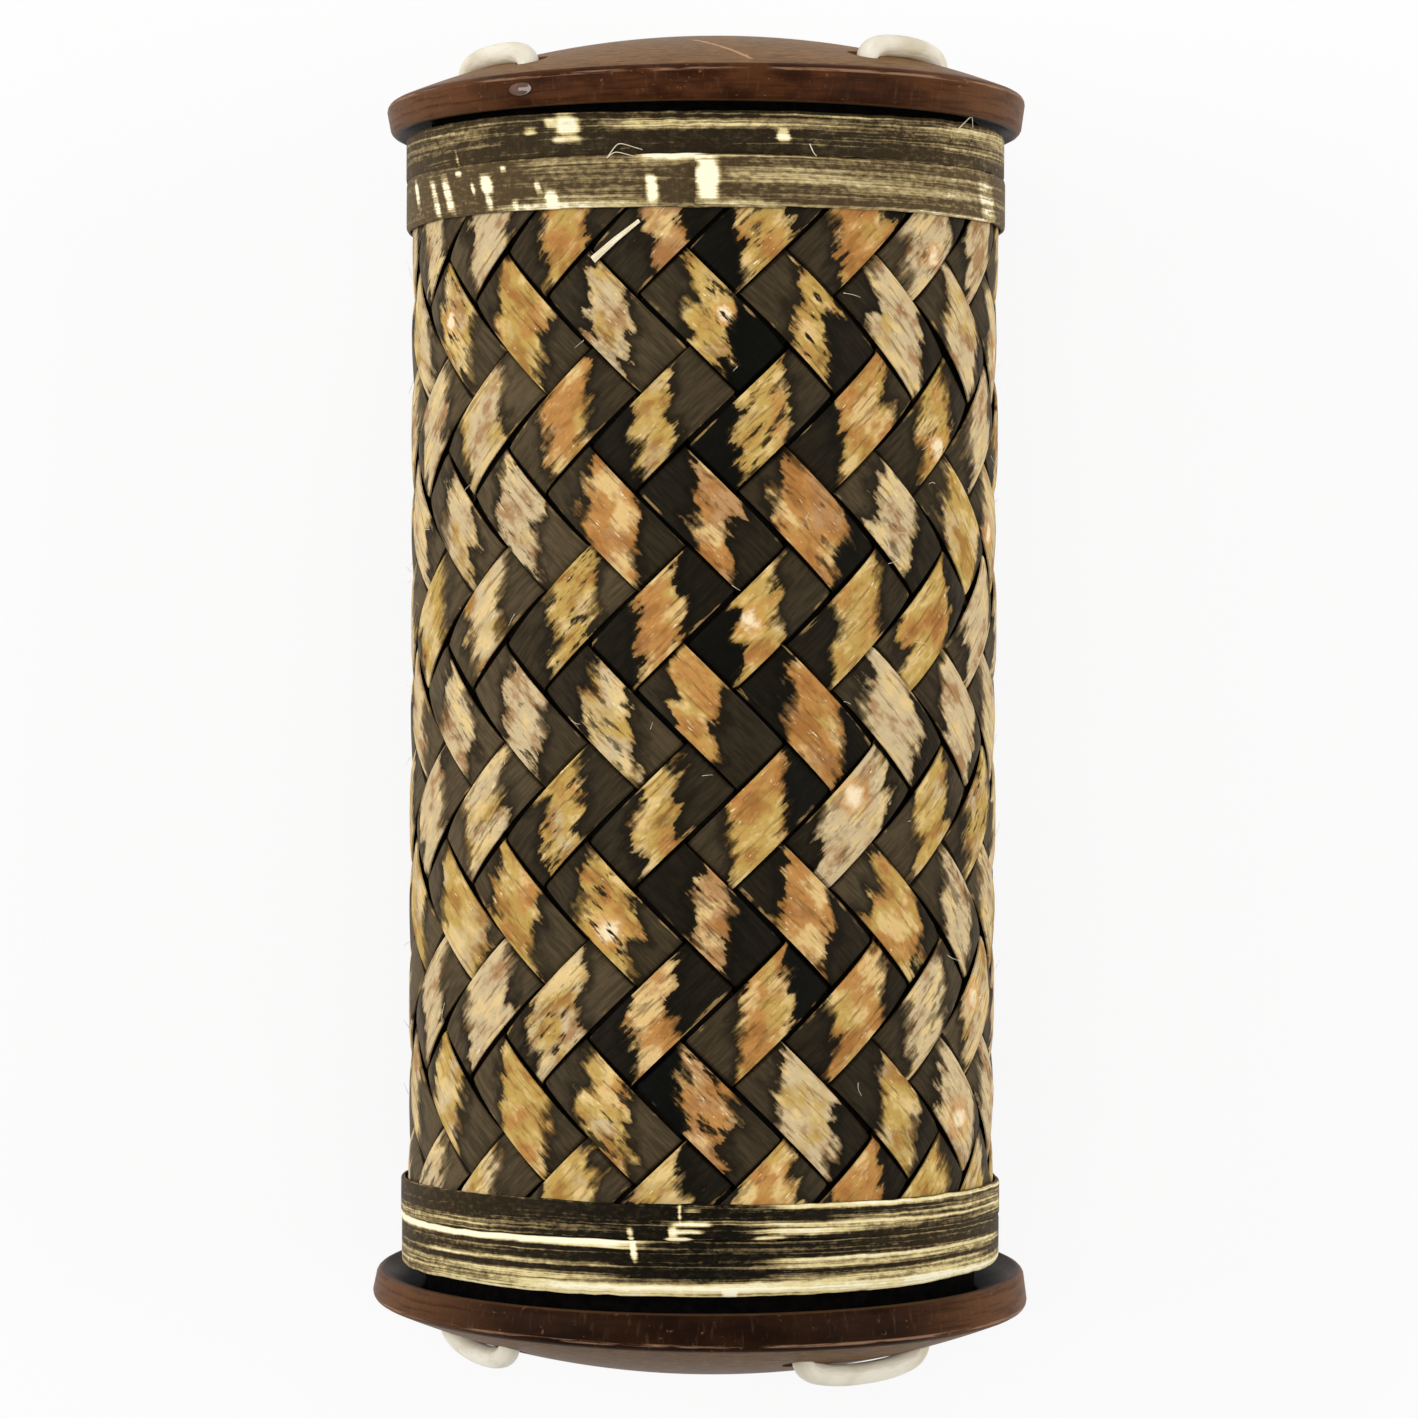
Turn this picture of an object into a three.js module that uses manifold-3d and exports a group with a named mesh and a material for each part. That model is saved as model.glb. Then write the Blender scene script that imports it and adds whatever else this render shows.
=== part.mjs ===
// A hand-held tube shaker: a woven strip cover on a stiff liner, closed by two coconut-shell caps.
// Three cord lashings run through the tube from cap to cap, and loose seeds rattle inside.
// Millimetres, +Z up. The shaker lies on a table: the tube's axis is along Y, the "top" end at +Y,
// and the origin is on the table, under the middle of the tube.
import * as THREE from "three";
import { mergeVertices } from "three/addons/utils/BufferGeometryUtils.js";
import Module from "manifold-3d";

const wasm = await Module();
wasm.setup();

// Clearances
const seatGap = 0.3; // between pieces that rest on each other
const weaveGap = 0.3; // between strips where they cross
const holeGap = 0.5; // between a cord and the hole drilled for it

// Liner tube, which keeps the caps apart
const linerLength = 115.75;
const linerRadius = 27.3;
const linerWall = 0.8;

// Woven cover: flat strips in two directions, each over two and under two
const stripsEachWay = 19;
const stripThickness = 0.5;
const stripSpacing = 0.65; // bare gap between neighbours of one direction
const rowHeight = 9.34; // along the tube, from one row of floats to the next
const floatCrown = 0.08; // how much a float bulges at its middle
const weaveInset = 3; // from each end of the liner to the cut ends of the strips
const weaveTurn = THREE.MathUtils.degToRad(6.3); // where the pattern starts round the tube
const weaveShift = 6.1; // and along it

// End caps, cut from the flank of a coconut, which is flatter than its ends
const topCapRadius = 31.85;
const bottomCapRadius = 32.6;
const shellRadius = 84; // outside curve of the nut
const shellThickness = 3.3;
const capEdgeRound = 0.8;

// Binding bands, wound once round each end of the cover with a lapped joint
const bandThickness = 0.45;
const bandLap = THREE.MathUtils.degToRad(16);
const bandRamp = THREE.MathUtils.degToRad(14); // over which the lapped end climbs
const bandInset = 1.05; // from a cap's rim to the first band
// From each cap inwards. A joint is where the lap starts, in degrees from +X towards +Z.
const bands = [
  { name: "top_band_narrow", side: 1, width: 3.8, joint: -60 },
  { name: "top_band_wide", side: 1, width: 4.6, joint: 76 },
  { name: "bottom_band_wide", side: -1, width: 5, joint: -100 },
  { name: "bottom_band_narrow", side: -1, width: 3.2, joint: -120 },
];

// Lashings: each cord makes a stitch on both caps, and is tied to itself inside
const cordDiameter = 2.4;
const stitchRise = 0.35; // clear space under the middle of a stitch
const stitchBend = 1.5; // how tightly a cord turns where it leaves a hole
const backHole = 19; // degrees from the lowest line of the tube to each hole of the back stitches
const tieTurns = 2.5;
const tieGap = 0.5; // between the turns of a tie
const tieFromEnd = 14; // from the liner's top end to the middle of a tie
const tailLength = 3;
const backHoles = [180 - backHole, 180 + backHole];
// The two holes of each stitch, in degrees round the tube from the upper side.
const lashings = [
  { name: "lashing_left", top: [-70, -44], bottom: [-86, -48] },
  { name: "lashing_right", top: [39, 67], bottom: [23, 59] },
  { name: "lashing_back", top: backHoles, bottom: backHoles },
];

// Seeds
const seedDiameter = 5;
const seedLength = 6.6;

// Facets round the full circle, and round a cord
const roundFacets = 40;
const cordSides = 6;

const material = (color, roughness) =>
  new THREE.MeshStandardMaterial({ color, roughness, metalness: 0 });
const linerBoard = material(0x1d1814, 0.9);
const wovenStrip = material(0xb98a4c, 0.6);
const bandStrip = material(0x2a221b, 0.55);
const coconutShell = material(0x4a2b20, 0.45);
const whiteCord = material(0xe2d9c6, 0.6);
const driedSeed = material(0x6b4a2a, 0.5);

// Solid helpers

// Closes a row of equal rings into one surface. leanForward picks each quad's diagonal.
function loft(rings, leanForward) {
  const sides = rings[0].length;
  const index = [];
  const at = (ring, side) => ring * sides + (side % sides);
  for (let r = 0; r + 1 < rings.length; r++) {
    for (let s = 0; s < sides; s++) {
      const [a, b, c, d] = [at(r, s), at(r, s + 1), at(r + 1, s), at(r + 1, s + 1)];
      if (leanForward(s)) index.push(a, b, d, a, d, c);
      else index.push(a, b, c, b, d, c);
    }
  }
  const last = rings.length - 1;
  for (let s = 1; s + 1 < sides; s++) {
    index.push(at(0, 0), at(0, s + 1), at(0, s));
    index.push(at(last, 0), at(last, s), at(last, s + 1));
  }
  const geometry = new THREE.BufferGeometry().setFromPoints(rings.flat());
  geometry.setIndex(signedVolume(rings.flat(), index) < 0 ? index.reverse() : index);
  return geometry;
}

function signedVolume(points, index) {
  let six = 0;
  const side = new THREE.Vector3();
  for (let i = 0; i < index.length; i += 3) {
    const [a, b, c] = [points[index[i]], points[index[i + 1]], points[index[i + 2]]];
    six += a.dot(side.crossVectors(b, c));
  }
  return six / 6;
}

function toSolid(geometry) {
  const bare = geometry.clone();
  for (const extra of ["normal", "uv"]) bare.deleteAttribute(extra);
  const merged = mergeVertices(bare, 1e-4);
  const vertProperties = merged.attributes.position.array;
  return new wasm.Manifold(
    new wasm.Mesh({ numProp: 3, vertProperties, triVerts: new Uint32Array(merged.index.array) }),
  );
}

function toGeometry(solid) {
  const made = solid.getMesh();
  const geometry = new THREE.BufferGeometry();
  geometry.setAttribute("position", new THREE.BufferAttribute(made.vertProperties, made.numProp));
  geometry.setIndex(new THREE.BufferAttribute(made.triVerts, 1));
  return geometry;
}

// A round bar along a path of points, its section carried along without twist.
function bar(path, radius, sides) {
  const legs = path.slice(1).map((point, i) => point.clone().sub(path[i]).normalize());
  const tangents = path.map((point, i) => {
    const [into, out] = [legs[Math.max(i - 1, 0)], legs[Math.min(i, legs.length - 1)]];
    return into.clone().add(out).normalize();
  });
  const upright = Math.abs(tangents[0].x) < 0.9 ? new THREE.Vector3(1, 0, 0) : new THREE.Vector3(0, 1, 0);
  let normal = upright.cross(tangents[0]).normalize();
  const turn = new THREE.Quaternion();
  const rings = path.map((point, i) => {
    if (i > 0) normal = normal.applyQuaternion(turn.setFromUnitVectors(tangents[i - 1], tangents[i]));
    const ring = [];
    for (let s = 0; s < sides; s++) {
      const arm = normal.clone().applyAxisAngle(tangents[i], (2 * Math.PI * s) / sides);
      ring.push(arm.multiplyScalar(radius).add(point));
    }
    return ring;
  });
  return loft(rings, () => true);
}

const shaker = new THREE.Group();
shaker.position.z = bottomCapRadius;

function addPiece(name, geometry, finish) {
  const piece = new THREE.Mesh(geometry, finish);
  piece.name = name;
  shaker.add(piece);
  return piece;
}

// Turns a radius and an angle from the upper side into a point across the tube.
const across = (radius, angle, y) =>
  new THREE.Vector3(radius * Math.sin(angle), y, radius * Math.cos(angle));

// A revolved outline whose flat facets, and not its corners, lie on the true radius.
function revolve(outline) {
  const step = (2 * Math.PI) / roundFacets;
  const widened = outline.map((p) => new THREE.Vector2(p.x / Math.cos(step / 2), p.y));
  return new THREE.LatheGeometry(widened, roundFacets, step / 2);
}

// Liner tube
const linerEnd = linerLength / 2;
const linerInside = linerRadius - linerWall;

function linerOutline() {
  return [
    new THREE.Vector2(linerRadius, -linerEnd),
    new THREE.Vector2(linerRadius, linerEnd),
    new THREE.Vector2(linerInside, linerEnd),
    new THREE.Vector2(linerInside, -linerEnd),
    new THREE.Vector2(linerRadius, -linerEnd),
  ];
}
addPiece("liner_tube", revolve(linerOutline()), linerBoard);

// Woven cover. Strips of one direction lie a whole pitch apart; u counts the strips that a strip
// crosses, and side is a place across its own width, both in pitches.
const pitchTurn = (2 * Math.PI) / stripsEachWay;
const pitchRise = rowHeight / 2;
const pitchRound = (linerRadius * pitchTurn) / 2;
const pitchWidth = (2 * pitchRound * pitchRise) / Math.hypot(pitchRound, pitchRise);
const halfStrip = 0.5 - (0.5 * stripSpacing) / pitchWidth;
const floatReach = 0.5 + halfStrip; // from a float's middle to where it dips
const dipSag = Math.cos((floatReach * pitchTurn) / 2); // a long facet cuts inside its circle
const floatSag = Math.cos((floatReach * pitchTurn) / 4);
const dipInside = (linerRadius + seatGap) / dipSag;
const dipOutside = dipInside + stripThickness;
const floatInside = (dipOutside + weaveGap) / floatSag;
const floatOutside = floatInside + stripThickness;
const weaveOutside = floatOutside + floatCrown;
const weaveEnd = linerEnd - weaveInset;

// The places along a strip where it bends, with the inside radius at each.
function bends(firstFloat) {
  const made = [];
  const [low, high] = [-weaveEnd, weaveEnd].map((y) => (y - weaveShift) / pitchRise);
  const firstCycle = Math.floor((low - firstFloat) / 4) - 1;
  const lastCycle = Math.ceil((high - firstFloat) / 4) + 1;
  for (let cycle = firstCycle; cycle <= lastCycle; cycle++) {
    const middle = firstFloat + 4 * cycle;
    made.push({ u: middle - floatReach, inside: floatInside });
    made.push({ u: middle, inside: floatInside + floatCrown });
    made.push({ u: middle + floatReach, inside: floatInside });
    made.push({ u: middle + 2 - floatReach, inside: dipInside });
    made.push({ u: middle + 2 + floatReach, inside: dipInside });
  }
  const near = made.findLastIndex((bend) => bend.u < low - 1);
  const far = made.findIndex((bend) => bend.u > high + 1);
  return made.slice(near, far + 1);
}

const weaveSpan = toSolid(new THREE.CylinderGeometry(2 * weaveOutside, 2 * weaveOutside, 2 * weaveEnd, 8));

// One strip. Lean is 1 where it climbs to the right and -1 where it climbs to the left.
function strip(number, lean) {
  const firstFloat = lean > 0 ? 0.5 : 2.5;
  const place = (u, side, radius) =>
    across(
      radius,
      ((2 * number + lean * u + side) * pitchTurn) / 2 + weaveTurn,
      (u - lean * side) * pitchRise + weaveShift,
    );
  const rings = bends(firstFloat).map(({ u, inside }) => [
    place(u, -halfStrip, inside + stripThickness),
    place(u, halfStrip, inside + stripThickness),
    place(u, halfStrip, inside),
    place(u, -halfStrip, inside),
  ]);
  const outerFace = 0;
  const leanForward = (side) => (lean > 0) !== (side === outerFace);
  return toGeometry(toSolid(loft(rings, leanForward)).intersect(weaveSpan));
}

for (let n = 0; n < stripsEachWay; n++) {
  const number = String(n + 1).padStart(2, "0");
  addPiece(`rising_strip_${number}`, strip(n, 1), wovenStrip);
  addPiece(`falling_strip_${number}`, strip(n, -1), wovenStrip);
}

// End caps. A cap is a dish of even thickness: its inside and outside are spheres of one centre.
function capShape(radius) {
  const insideRadius = shellRadius - shellThickness;
  const centre = -Math.sqrt(insideRadius ** 2 - (radius - capEdgeRound) ** 2);
  return {
    radius,
    centre,
    insideHeight: (r) => centre + Math.sqrt(insideRadius ** 2 - r ** 2),
    outsideHeight: (r) => centre + Math.sqrt(shellRadius ** 2 - r ** 2),
  };
}

// The outline runs from the crown over the dome, round the edge, and back under the dish.
function capOutline(cap) {
  const domeFacets = 5;
  const edgeFacets = 2;
  const shoulder = 0.6; // the dome is eased into the ground edge over this
  const outline = [];
  for (let i = 0; i <= domeFacets; i++) {
    const r = ((cap.radius - shoulder) * i) / domeFacets;
    outline.push(new THREE.Vector2(r, cap.outsideHeight(r)));
  }
  outline.push(new THREE.Vector2(cap.radius, cap.outsideHeight(cap.radius) - shoulder));
  for (let i = 0; i <= edgeFacets; i++) {
    const angle = (Math.PI / 2) * (i / edgeFacets);
    const r = cap.radius - capEdgeRound * (1 - Math.cos(angle));
    outline.push(new THREE.Vector2(r, capEdgeRound * (1 - Math.sin(angle))));
  }
  for (let i = domeFacets - 1; i >= 0; i--) {
    const r = ((cap.radius - capEdgeRound) * i) / domeFacets;
    outline.push(new THREE.Vector2(r, cap.insideHeight(r)));
  }
  return outline.reverse();
}

// Both rims touch the table, so the smaller cap sits a little low on the tube.
const ends = [
  { name: "top_cap", side: 1, cap: capShape(topCapRadius), drop: bottomCapRadius - topCapRadius },
  { name: "bottom_cap", side: -1, cap: capShape(bottomCapRadius), drop: 0 },
];
for (const end of ends) {
  const seatRadius = linerRadius + end.drop;
  end.rim = linerEnd + seatGap - end.cap.insideHeight(seatRadius);
  end.surface = (point, height) => {
    const r = Math.hypot(point.x, point.z + end.drop);
    return end.side * (end.rim + end.cap[height](r));
  };
}

// The origin is under the middle of the whole length, from crown to crown.
const [topCrown, bottomCrown] = ends.map((end) => end.rim + end.cap.outsideHeight(0));
shaker.position.y = (bottomCrown - topCrown) / 2;

// Lashings
const cordRadius = cordDiameter / 2;
const holeRadius = cordRadius + holeGap;
const footRadius = linerInside - seatGap - cordRadius;
const tieRadius = cordDiameter + tieGap;
const tieY = linerEnd - tieFromEnd;
const tieHalf = (tieTurns * tieRadius) / 2;
const radians = THREE.MathUtils.degToRad;

// The two holes of one stitch, each with the heights of the shell's inside and outside there.
function stitchHoles(end, angles) {
  return angles.map((angle) => {
    const foot = across(footRadius, radians(angle), 0);
    const [inside, outside] = ["insideHeight", "outsideHeight"].map((h) => end.surface(foot, h));
    return { foot, inside, outside };
  });
}

// From inside the shell out of one hole and up to the middle of the stitch.
function halfStitch(end, hole, middle) {
  const across = middle.clone().sub(hole.foot).setY(0);
  const reach = across.length();
  const point = (along, y) => hole.foot.clone().addScaledVector(across, along / reach).setY(y);
  const start = hole.outside + end.side * seatGap;
  const made = [point(0, hole.inside - end.side * cordDiameter)];
  for (const turn of [0, 27, 54, 81].map(radians)) {
    const y = start + end.side * stitchBend * Math.sin(turn);
    made.push(point(stitchBend * (1 - Math.cos(turn)), y));
  }
  const bent = made.at(-1);
  const halfway = bent.clone().lerp(middle, 0.5);
  made.push(halfway.setY(THREE.MathUtils.lerp(bent.y, middle.y, 0.75)));
  return made;
}

// Out of one hole, over the shell in a low arch, and into the other.
function stitchPath(end, [from, to]) {
  const middle = from.foot.clone().add(to.foot).multiplyScalar(0.5);
  middle.y = end.surface(middle, "outsideHeight") + end.side * (stitchRise + cordRadius);
  return [...halfStitch(end, from, middle), middle, ...halfStitch(end, to, middle).reverse()];
}

// The cord starts at its tail, makes both stitches, and winds round its own start.
function lashingPath(lashing) {
  const [topEnd, bottomEnd] = ends;
  const topHoles = stitchHoles(topEnd, lashing.top);
  const bottomHoles = stitchHoles(bottomEnd, lashing.bottom);
  const run = (y) => {
    const share = (y - bottomHoles[0].inside) / (topHoles[0].inside - bottomHoles[0].inside);
    return bottomHoles[0].foot.clone().lerp(topHoles[0].foot, share).setY(y);
  };
  const outward = run(tieY).setY(0).normalize();
  const sideways = new THREE.Vector3().crossVectors(outward, new THREE.Vector3(0, 1, 0));
  const core = (y) => run(y).addScaledVector(outward, -tieRadius);
  const path = [core(tieY - tieHalf - tailLength), core(tieY), core(tieY + tieHalf)];
  path.push(...stitchPath(topEnd, topHoles), ...stitchPath(bottomEnd, bottomHoles.toReversed()));
  const stepsPerTurn = 6;
  const steps = tieTurns * stepsPerTurn;
  path.push(run(tieY - tieHalf - cordDiameter));
  for (let i = 0; i <= steps; i++) {
    const angle = (2 * Math.PI * i) / stepsPerTurn;
    const point = core(tieY - tieHalf + (2 * tieHalf * i) / steps);
    point.addScaledVector(outward, tieRadius * Math.cos(angle));
    path.push(point.addScaledVector(sideways, tieRadius * Math.sin(angle)));
  }
  return path;
}

for (const lashing of lashings) {
  addPiece(lashing.name, bar(lashingPath(lashing), cordRadius, cordSides), whiteCord);
}

// The caps are drilled for the stitches after the cords' places are known.
for (const end of ends) {
  let cap = toSolid(revolve(capOutline(end.cap)));
  const drillLength = 4 * (shellThickness + end.cap.outsideHeight(0));
  for (const lashing of lashings) {
    const angles = end.side > 0 ? lashing.top : lashing.bottom;
    for (const { foot } of stitchHoles(end, angles)) {
      const drill = new THREE.CylinderGeometry(holeRadius, holeRadius, drillLength, 2 * cordSides);
      drill.translate(end.side * foot.x, 0, foot.z + end.drop);
      cap = cap.subtract(toSolid(drill));
    }
  }
  const piece = addPiece(end.name, toGeometry(cap), coconutShell);
  piece.position.set(0, end.side * end.rim, -end.drop);
  if (end.side < 0) piece.rotation.z = Math.PI;
}

// Binding bands
const bandInside = weaveOutside + seatGap;

// Seen along the tube, a band goes once round and then climbs onto its own start.
function bandSection() {
  const climb = bandThickness + seatGap;
  const total = 2 * Math.PI + bandLap;
  const steps = roundFacets;
  const corner = 1 / Math.cos(total / steps / 2);
  const [inner, outer] = [[], []];
  for (let i = 0; i <= steps; i++) {
    const angle = (total * i) / steps;
    const share = THREE.MathUtils.smoothstep(angle, 2 * Math.PI - bandRamp, 2 * Math.PI);
    const radius = (bandInside + climb * share) * corner;
    inner.push(new THREE.Vector2(radius * Math.cos(angle), radius * Math.sin(angle)));
    const outside = radius + bandThickness;
    outer.push(new THREE.Vector2(outside * Math.cos(angle), outside * Math.sin(angle)));
  }
  return new THREE.Shape([...outer, ...inner.reverse()]);
}

function addBand({ name, width, joint }, end, edge) {
  const band = new THREE.ExtrudeGeometry(bandSection(), { depth: width, bevelEnabled: false, steps: 1 });
  band.rotateZ(radians(joint));
  band.rotateX(Math.PI / 2);
  addPiece(name, band, bandStrip).position.y = end.side > 0 ? edge : width - edge;
}

for (const end of ends) {
  let edge = end.rim - bandInset;
  for (const band of bands.filter(({ side }) => side === end.side)) {
    addBand(band, end, edge);
    edge -= band.width + seatGap;
  }
}

// Seeds, heaped on the lower side of the liner. Each one's lane along the tube is free.
const seedStep = seedDiameter + seatGap;
const wallLane = linerInside - seatGap - seedDiameter / 2;
const halfTurn = 2 * Math.asin(seedStep / (2 * wallLane));
const cordTurn = Math.PI / 2 - Math.acos((seedDiameter / 2 + cordRadius + seatGap) / wallLane);
const pastCord = radians(backHole) + cordTurn;
const onWall = (turn) => across(wallLane, Math.PI + turn, 0);

// Where a seed rests on two others, on the side of the tube's axis.
function nested(one, other) {
  const middle = one.clone().add(other).multiplyScalar(0.5);
  const along = other.clone().sub(one);
  const lift = Math.sqrt(seedStep ** 2 - along.lengthSq() / 4);
  const inward = new THREE.Vector3(-along.z, 0, along.x).normalize();
  if (inward.dot(middle) > 0) inward.negate();
  return middle.addScaledVector(inward, lift);
}

function seedHeap() {
  const mirrored = (p) => new THREE.Vector3(-p.x, p.y, p.z);
  const low = onWall(halfTurn / 2);
  const outer = onWall(pastCord);
  const outermost = onWall(pastCord + halfTurn);
  const middle = nested(low, mirrored(low));
  const shoulder = nested(low, middle);
  const outerTop = nested(outer, outermost);
  const pairs = [low, outer, outermost, shoulder, outerTop].flatMap((p) => [p, mirrored(p)]);
  return [middle, ...pairs, nested(middle, shoulder)];
}

seedHeap().forEach((place, n) => {
  const seed = new THREE.SphereGeometry(seedDiameter / 2, 8, 5);
  seed.scale(1, seedLength / seedDiameter, 1);
  addPiece(`seed_${String(n + 1).padStart(2, "0")}`, seed, driedSeed).position.copy(place);
});

export default shaker;
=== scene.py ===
# %% [markdown]
# # A woven tube shaker
# The shaker is a straight tube of plaited cane strips. Two domed discs of coconut shell close it, bands of
# split cane bind the ends of the weave, and white cord laces the discs on. Seeds inside make the sound.
# The solid model is already packed, so this lesson only dresses it: each piece is built again with finer
# shapes, in the same place, and gets a finish made of shader nodes.

# %% Load the packed frame
import math

import bmesh
import bpy
import numpy as np
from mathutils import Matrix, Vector


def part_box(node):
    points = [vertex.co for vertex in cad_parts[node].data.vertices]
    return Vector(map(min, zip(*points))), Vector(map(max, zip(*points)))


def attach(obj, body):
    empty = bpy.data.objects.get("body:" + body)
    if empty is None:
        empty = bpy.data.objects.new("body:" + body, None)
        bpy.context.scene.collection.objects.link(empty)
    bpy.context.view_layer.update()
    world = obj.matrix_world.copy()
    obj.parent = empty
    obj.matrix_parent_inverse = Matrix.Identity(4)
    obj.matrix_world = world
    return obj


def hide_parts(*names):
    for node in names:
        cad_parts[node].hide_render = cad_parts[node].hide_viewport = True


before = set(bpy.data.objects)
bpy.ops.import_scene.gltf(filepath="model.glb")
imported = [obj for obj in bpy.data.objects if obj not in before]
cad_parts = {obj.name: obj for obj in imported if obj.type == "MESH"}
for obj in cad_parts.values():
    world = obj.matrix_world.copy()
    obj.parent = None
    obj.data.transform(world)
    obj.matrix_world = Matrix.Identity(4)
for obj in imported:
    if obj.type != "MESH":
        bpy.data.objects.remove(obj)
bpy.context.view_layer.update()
MM = 0.001

# %% [markdown]
# ## The camera
# The picture looks straight down on the shaker as it lies on the table. A camera in Blender already looks
# down, with the top of the image towards +Y, so it needs only its height and a small roll. It stands about
# four lengths away, which is why the rims of the caps hide a part of their domes.

# %% Camera
PICTURE_WIDTH = 141.8  # mm of the tube's own plane that the image shows
EYE_DISTANCE = 490  # mm from the tube's axis
EYE_ASIDE = 0.6  # mm to the right of the tube
EYE_ALONG = -0.3  # mm towards the bottom end
EYE_ROLL = 0.3  # degrees
SENSOR = 36  # mm

liner_low, liner_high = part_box("liner_tube")
tube_middle = np.array((liner_low + liner_high) / 2)
eye = bpy.data.cameras.new("eye")
eye.sensor_width = SENSOR
eye.lens = SENSOR * EYE_DISTANCE / PICTURE_WIDTH
eye_stand = bpy.data.objects.new("eye", eye)
eye_stand.location = (EYE_ASIDE * MM, EYE_ALONG * MM, tube_middle[2] + EYE_DISTANCE * MM)
eye_stand.rotation_euler = (0, 0, math.radians(EYE_ROLL))
scene = bpy.context.scene
scene.collection.objects.link(eye_stand)
scene.camera = eye_stand
scene.view_settings.view_transform = "Standard"
print("lens in mm:", round(eye.lens, 1))

# %% [markdown]
# ## Tools for finishes
# Every finish is a Principled shader fed by a few noises, masks and colour mixes. Wiring nodes by hand is
# long, so a small class adds a node and feeds its sockets in one call. A second class adds what only a finish
# needs. A colour is built up in coats, each laid on where its mask says. Colours are written as a picture
# shows them, from 0 to 255, and turned into the linear values that Blender works with.

# %% Wiring helpers
def tone(red, green, blue):
    """A colour as a picture shows it, taken through the sRGB curve."""
    def linear(value):
        share = value / 255
        return share / 12.92 if share <= 0.04045 else ((share + 0.055) / 1.055) ** 2.4
    return (linear(red), linear(green), linear(blue), 1.0)


class Wiring:
    """The nodes of one material or world."""

    def __init__(self, owner):
        owner.use_nodes = True
        self.tree = owner.node_tree

    def feed(self, socket, value):
        if isinstance(value, bpy.types.NodeSocket):
            self.tree.links.new(value, socket)
        else:
            socket.default_value = value

    def add(self, kind, inputs, **settings):
        node = self.tree.nodes.new(kind)
        for name, value in settings.items():
            setattr(node, name, value)
        for key, value in inputs.items():
            self.feed(node.inputs[key], value)
        return node

    def math(self, operation, *values):
        return self.add("ShaderNodeMath", dict(enumerate(values)), operation=operation).outputs[0]

    def total(self, *values):
        made = values[0]
        for value in values[1:]:
            made = self.math("ADD", made, value)
        return made

    def times(self, *values):
        made = values[0]
        for value in values[1:]:
            made = self.math("MULTIPLY", made, value)
        return made

    def seen(self):
        """One for a camera, glossy or transmission ray, and zero for the soft light that bounces."""
        rays = self.add("ShaderNodeLightPath", {}).outputs
        either = self.math("MAXIMUM", rays["Is Camera Ray"], rays["Is Glossy Ray"])
        return self.math("MAXIMUM", either, rays["Is Transmission Ray"])


print("tan reads back as", np.round(tone(200, 140, 75)[:3], 3))

# %% Finish helpers
class Finish(Wiring):
    """A material in the making: one shader, and the nodes that feed it."""

    def __init__(self, name, specular=0.5):
        self.material = bpy.data.materials.new(name)
        super().__init__(self.material)
        self.shader = self.tree.nodes["Principled BSDF"]
        self.shader.inputs["Specular IOR Level"].default_value = specular

    def read(self, name):
        """The three numbers that a mesh carries under this name."""
        vector = self.add("ShaderNodeAttribute", {}, attribute_name=name).outputs["Vector"]
        return self.parts(vector)

    def place(self):
        """Where a point is, in mm, in the shaker's frame."""
        metres = self.add("ShaderNodeTexCoord", {}).outputs["Object"]
        scaled = self.add("ShaderNodeVectorMath", {0: metres, 1: (1 / MM,) * 3}, operation="MULTIPLY")
        middle = tuple(float(value) for value in tube_middle / MM)
        centred = self.add("ShaderNodeVectorMath", {0: scaled.outputs[0], 1: middle}, operation="SUBTRACT")
        return self.parts(centred.outputs[0])

    def parts(self, vector):
        return tuple(self.add("ShaderNodeSeparateXYZ", {0: vector}).outputs)

    def length(self, first, second):
        return self.math("SQRT", self.math("ADD", self.times(first, first), self.times(second, second)))

    def noise(self, axes, blots, detail=2.0, rough=0.5):
        """Soft noise from 0 to 1, with so many blots in one unit of each of the three axes."""
        x, y, z = [self.times(value, count) for value, count in zip(axes, blots)]
        vector = self.add("ShaderNodeCombineXYZ", {0: x, 1: y, 2: z}).outputs[0]
        inputs = {"Vector": vector, "Scale": 1.0, "Detail": detail, "Roughness": rough}
        return self.add("ShaderNodeTexNoise", inputs).outputs["Fac"]

    def swing(self, noise, size):
        """A noise turned into a value that swings about zero."""
        return self.times(self.math("SUBTRACT", noise, 0.5), size)

    def fade(self, value, start, end):
        """Zero before start, one after end, smooth between."""
        inputs = {"Value": value, "From Min": start, "From Max": end}
        return self.add("ShaderNodeMapRange", inputs, interpolation_type="SMOOTHSTEP").outputs["Result"]

    def scale(self, value, low, high):
        """A share from 0 to 1 turned into a range."""
        inputs = {"Value": value, "To Min": low, "To Max": high}
        return self.add("ShaderNodeMapRange", inputs).outputs["Result"]

    def mix(self, share, first, second):
        inputs = {0: share, 6: first, 7: second}
        return self.add("ShaderNodeMix", inputs, data_type="RGBA").outputs[2]

    def coats(self, colour, *layers):
        """Colours laid over one another. A layer is a colour, a mask with its start and end, and a share."""
        for over, mask, start, end, share in layers:
            colour = self.mix(self.times(self.fade(mask, start, end), share), colour, over)
        return colour

    def finish(self, colour, roughness, height, depth):
        """Feeds the shader. Height is in units of depth, which is in mm."""
        self.feed(self.shader.inputs["Base Color"], colour)
        self.feed(self.shader.inputs["Roughness"], roughness)
        bump = self.add("ShaderNodeBump", {"Height": height, "Distance": depth * MM, "Strength": 1.0})
        self.feed(self.shader.inputs["Normal"], bump.outputs["Normal"])
        print(self.material.name, "has", len(self.tree.nodes), "nodes")
        return self.material


print("a finish can:", ", ".join(name for name in vars(Finish) if not name.startswith("_")))

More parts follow.
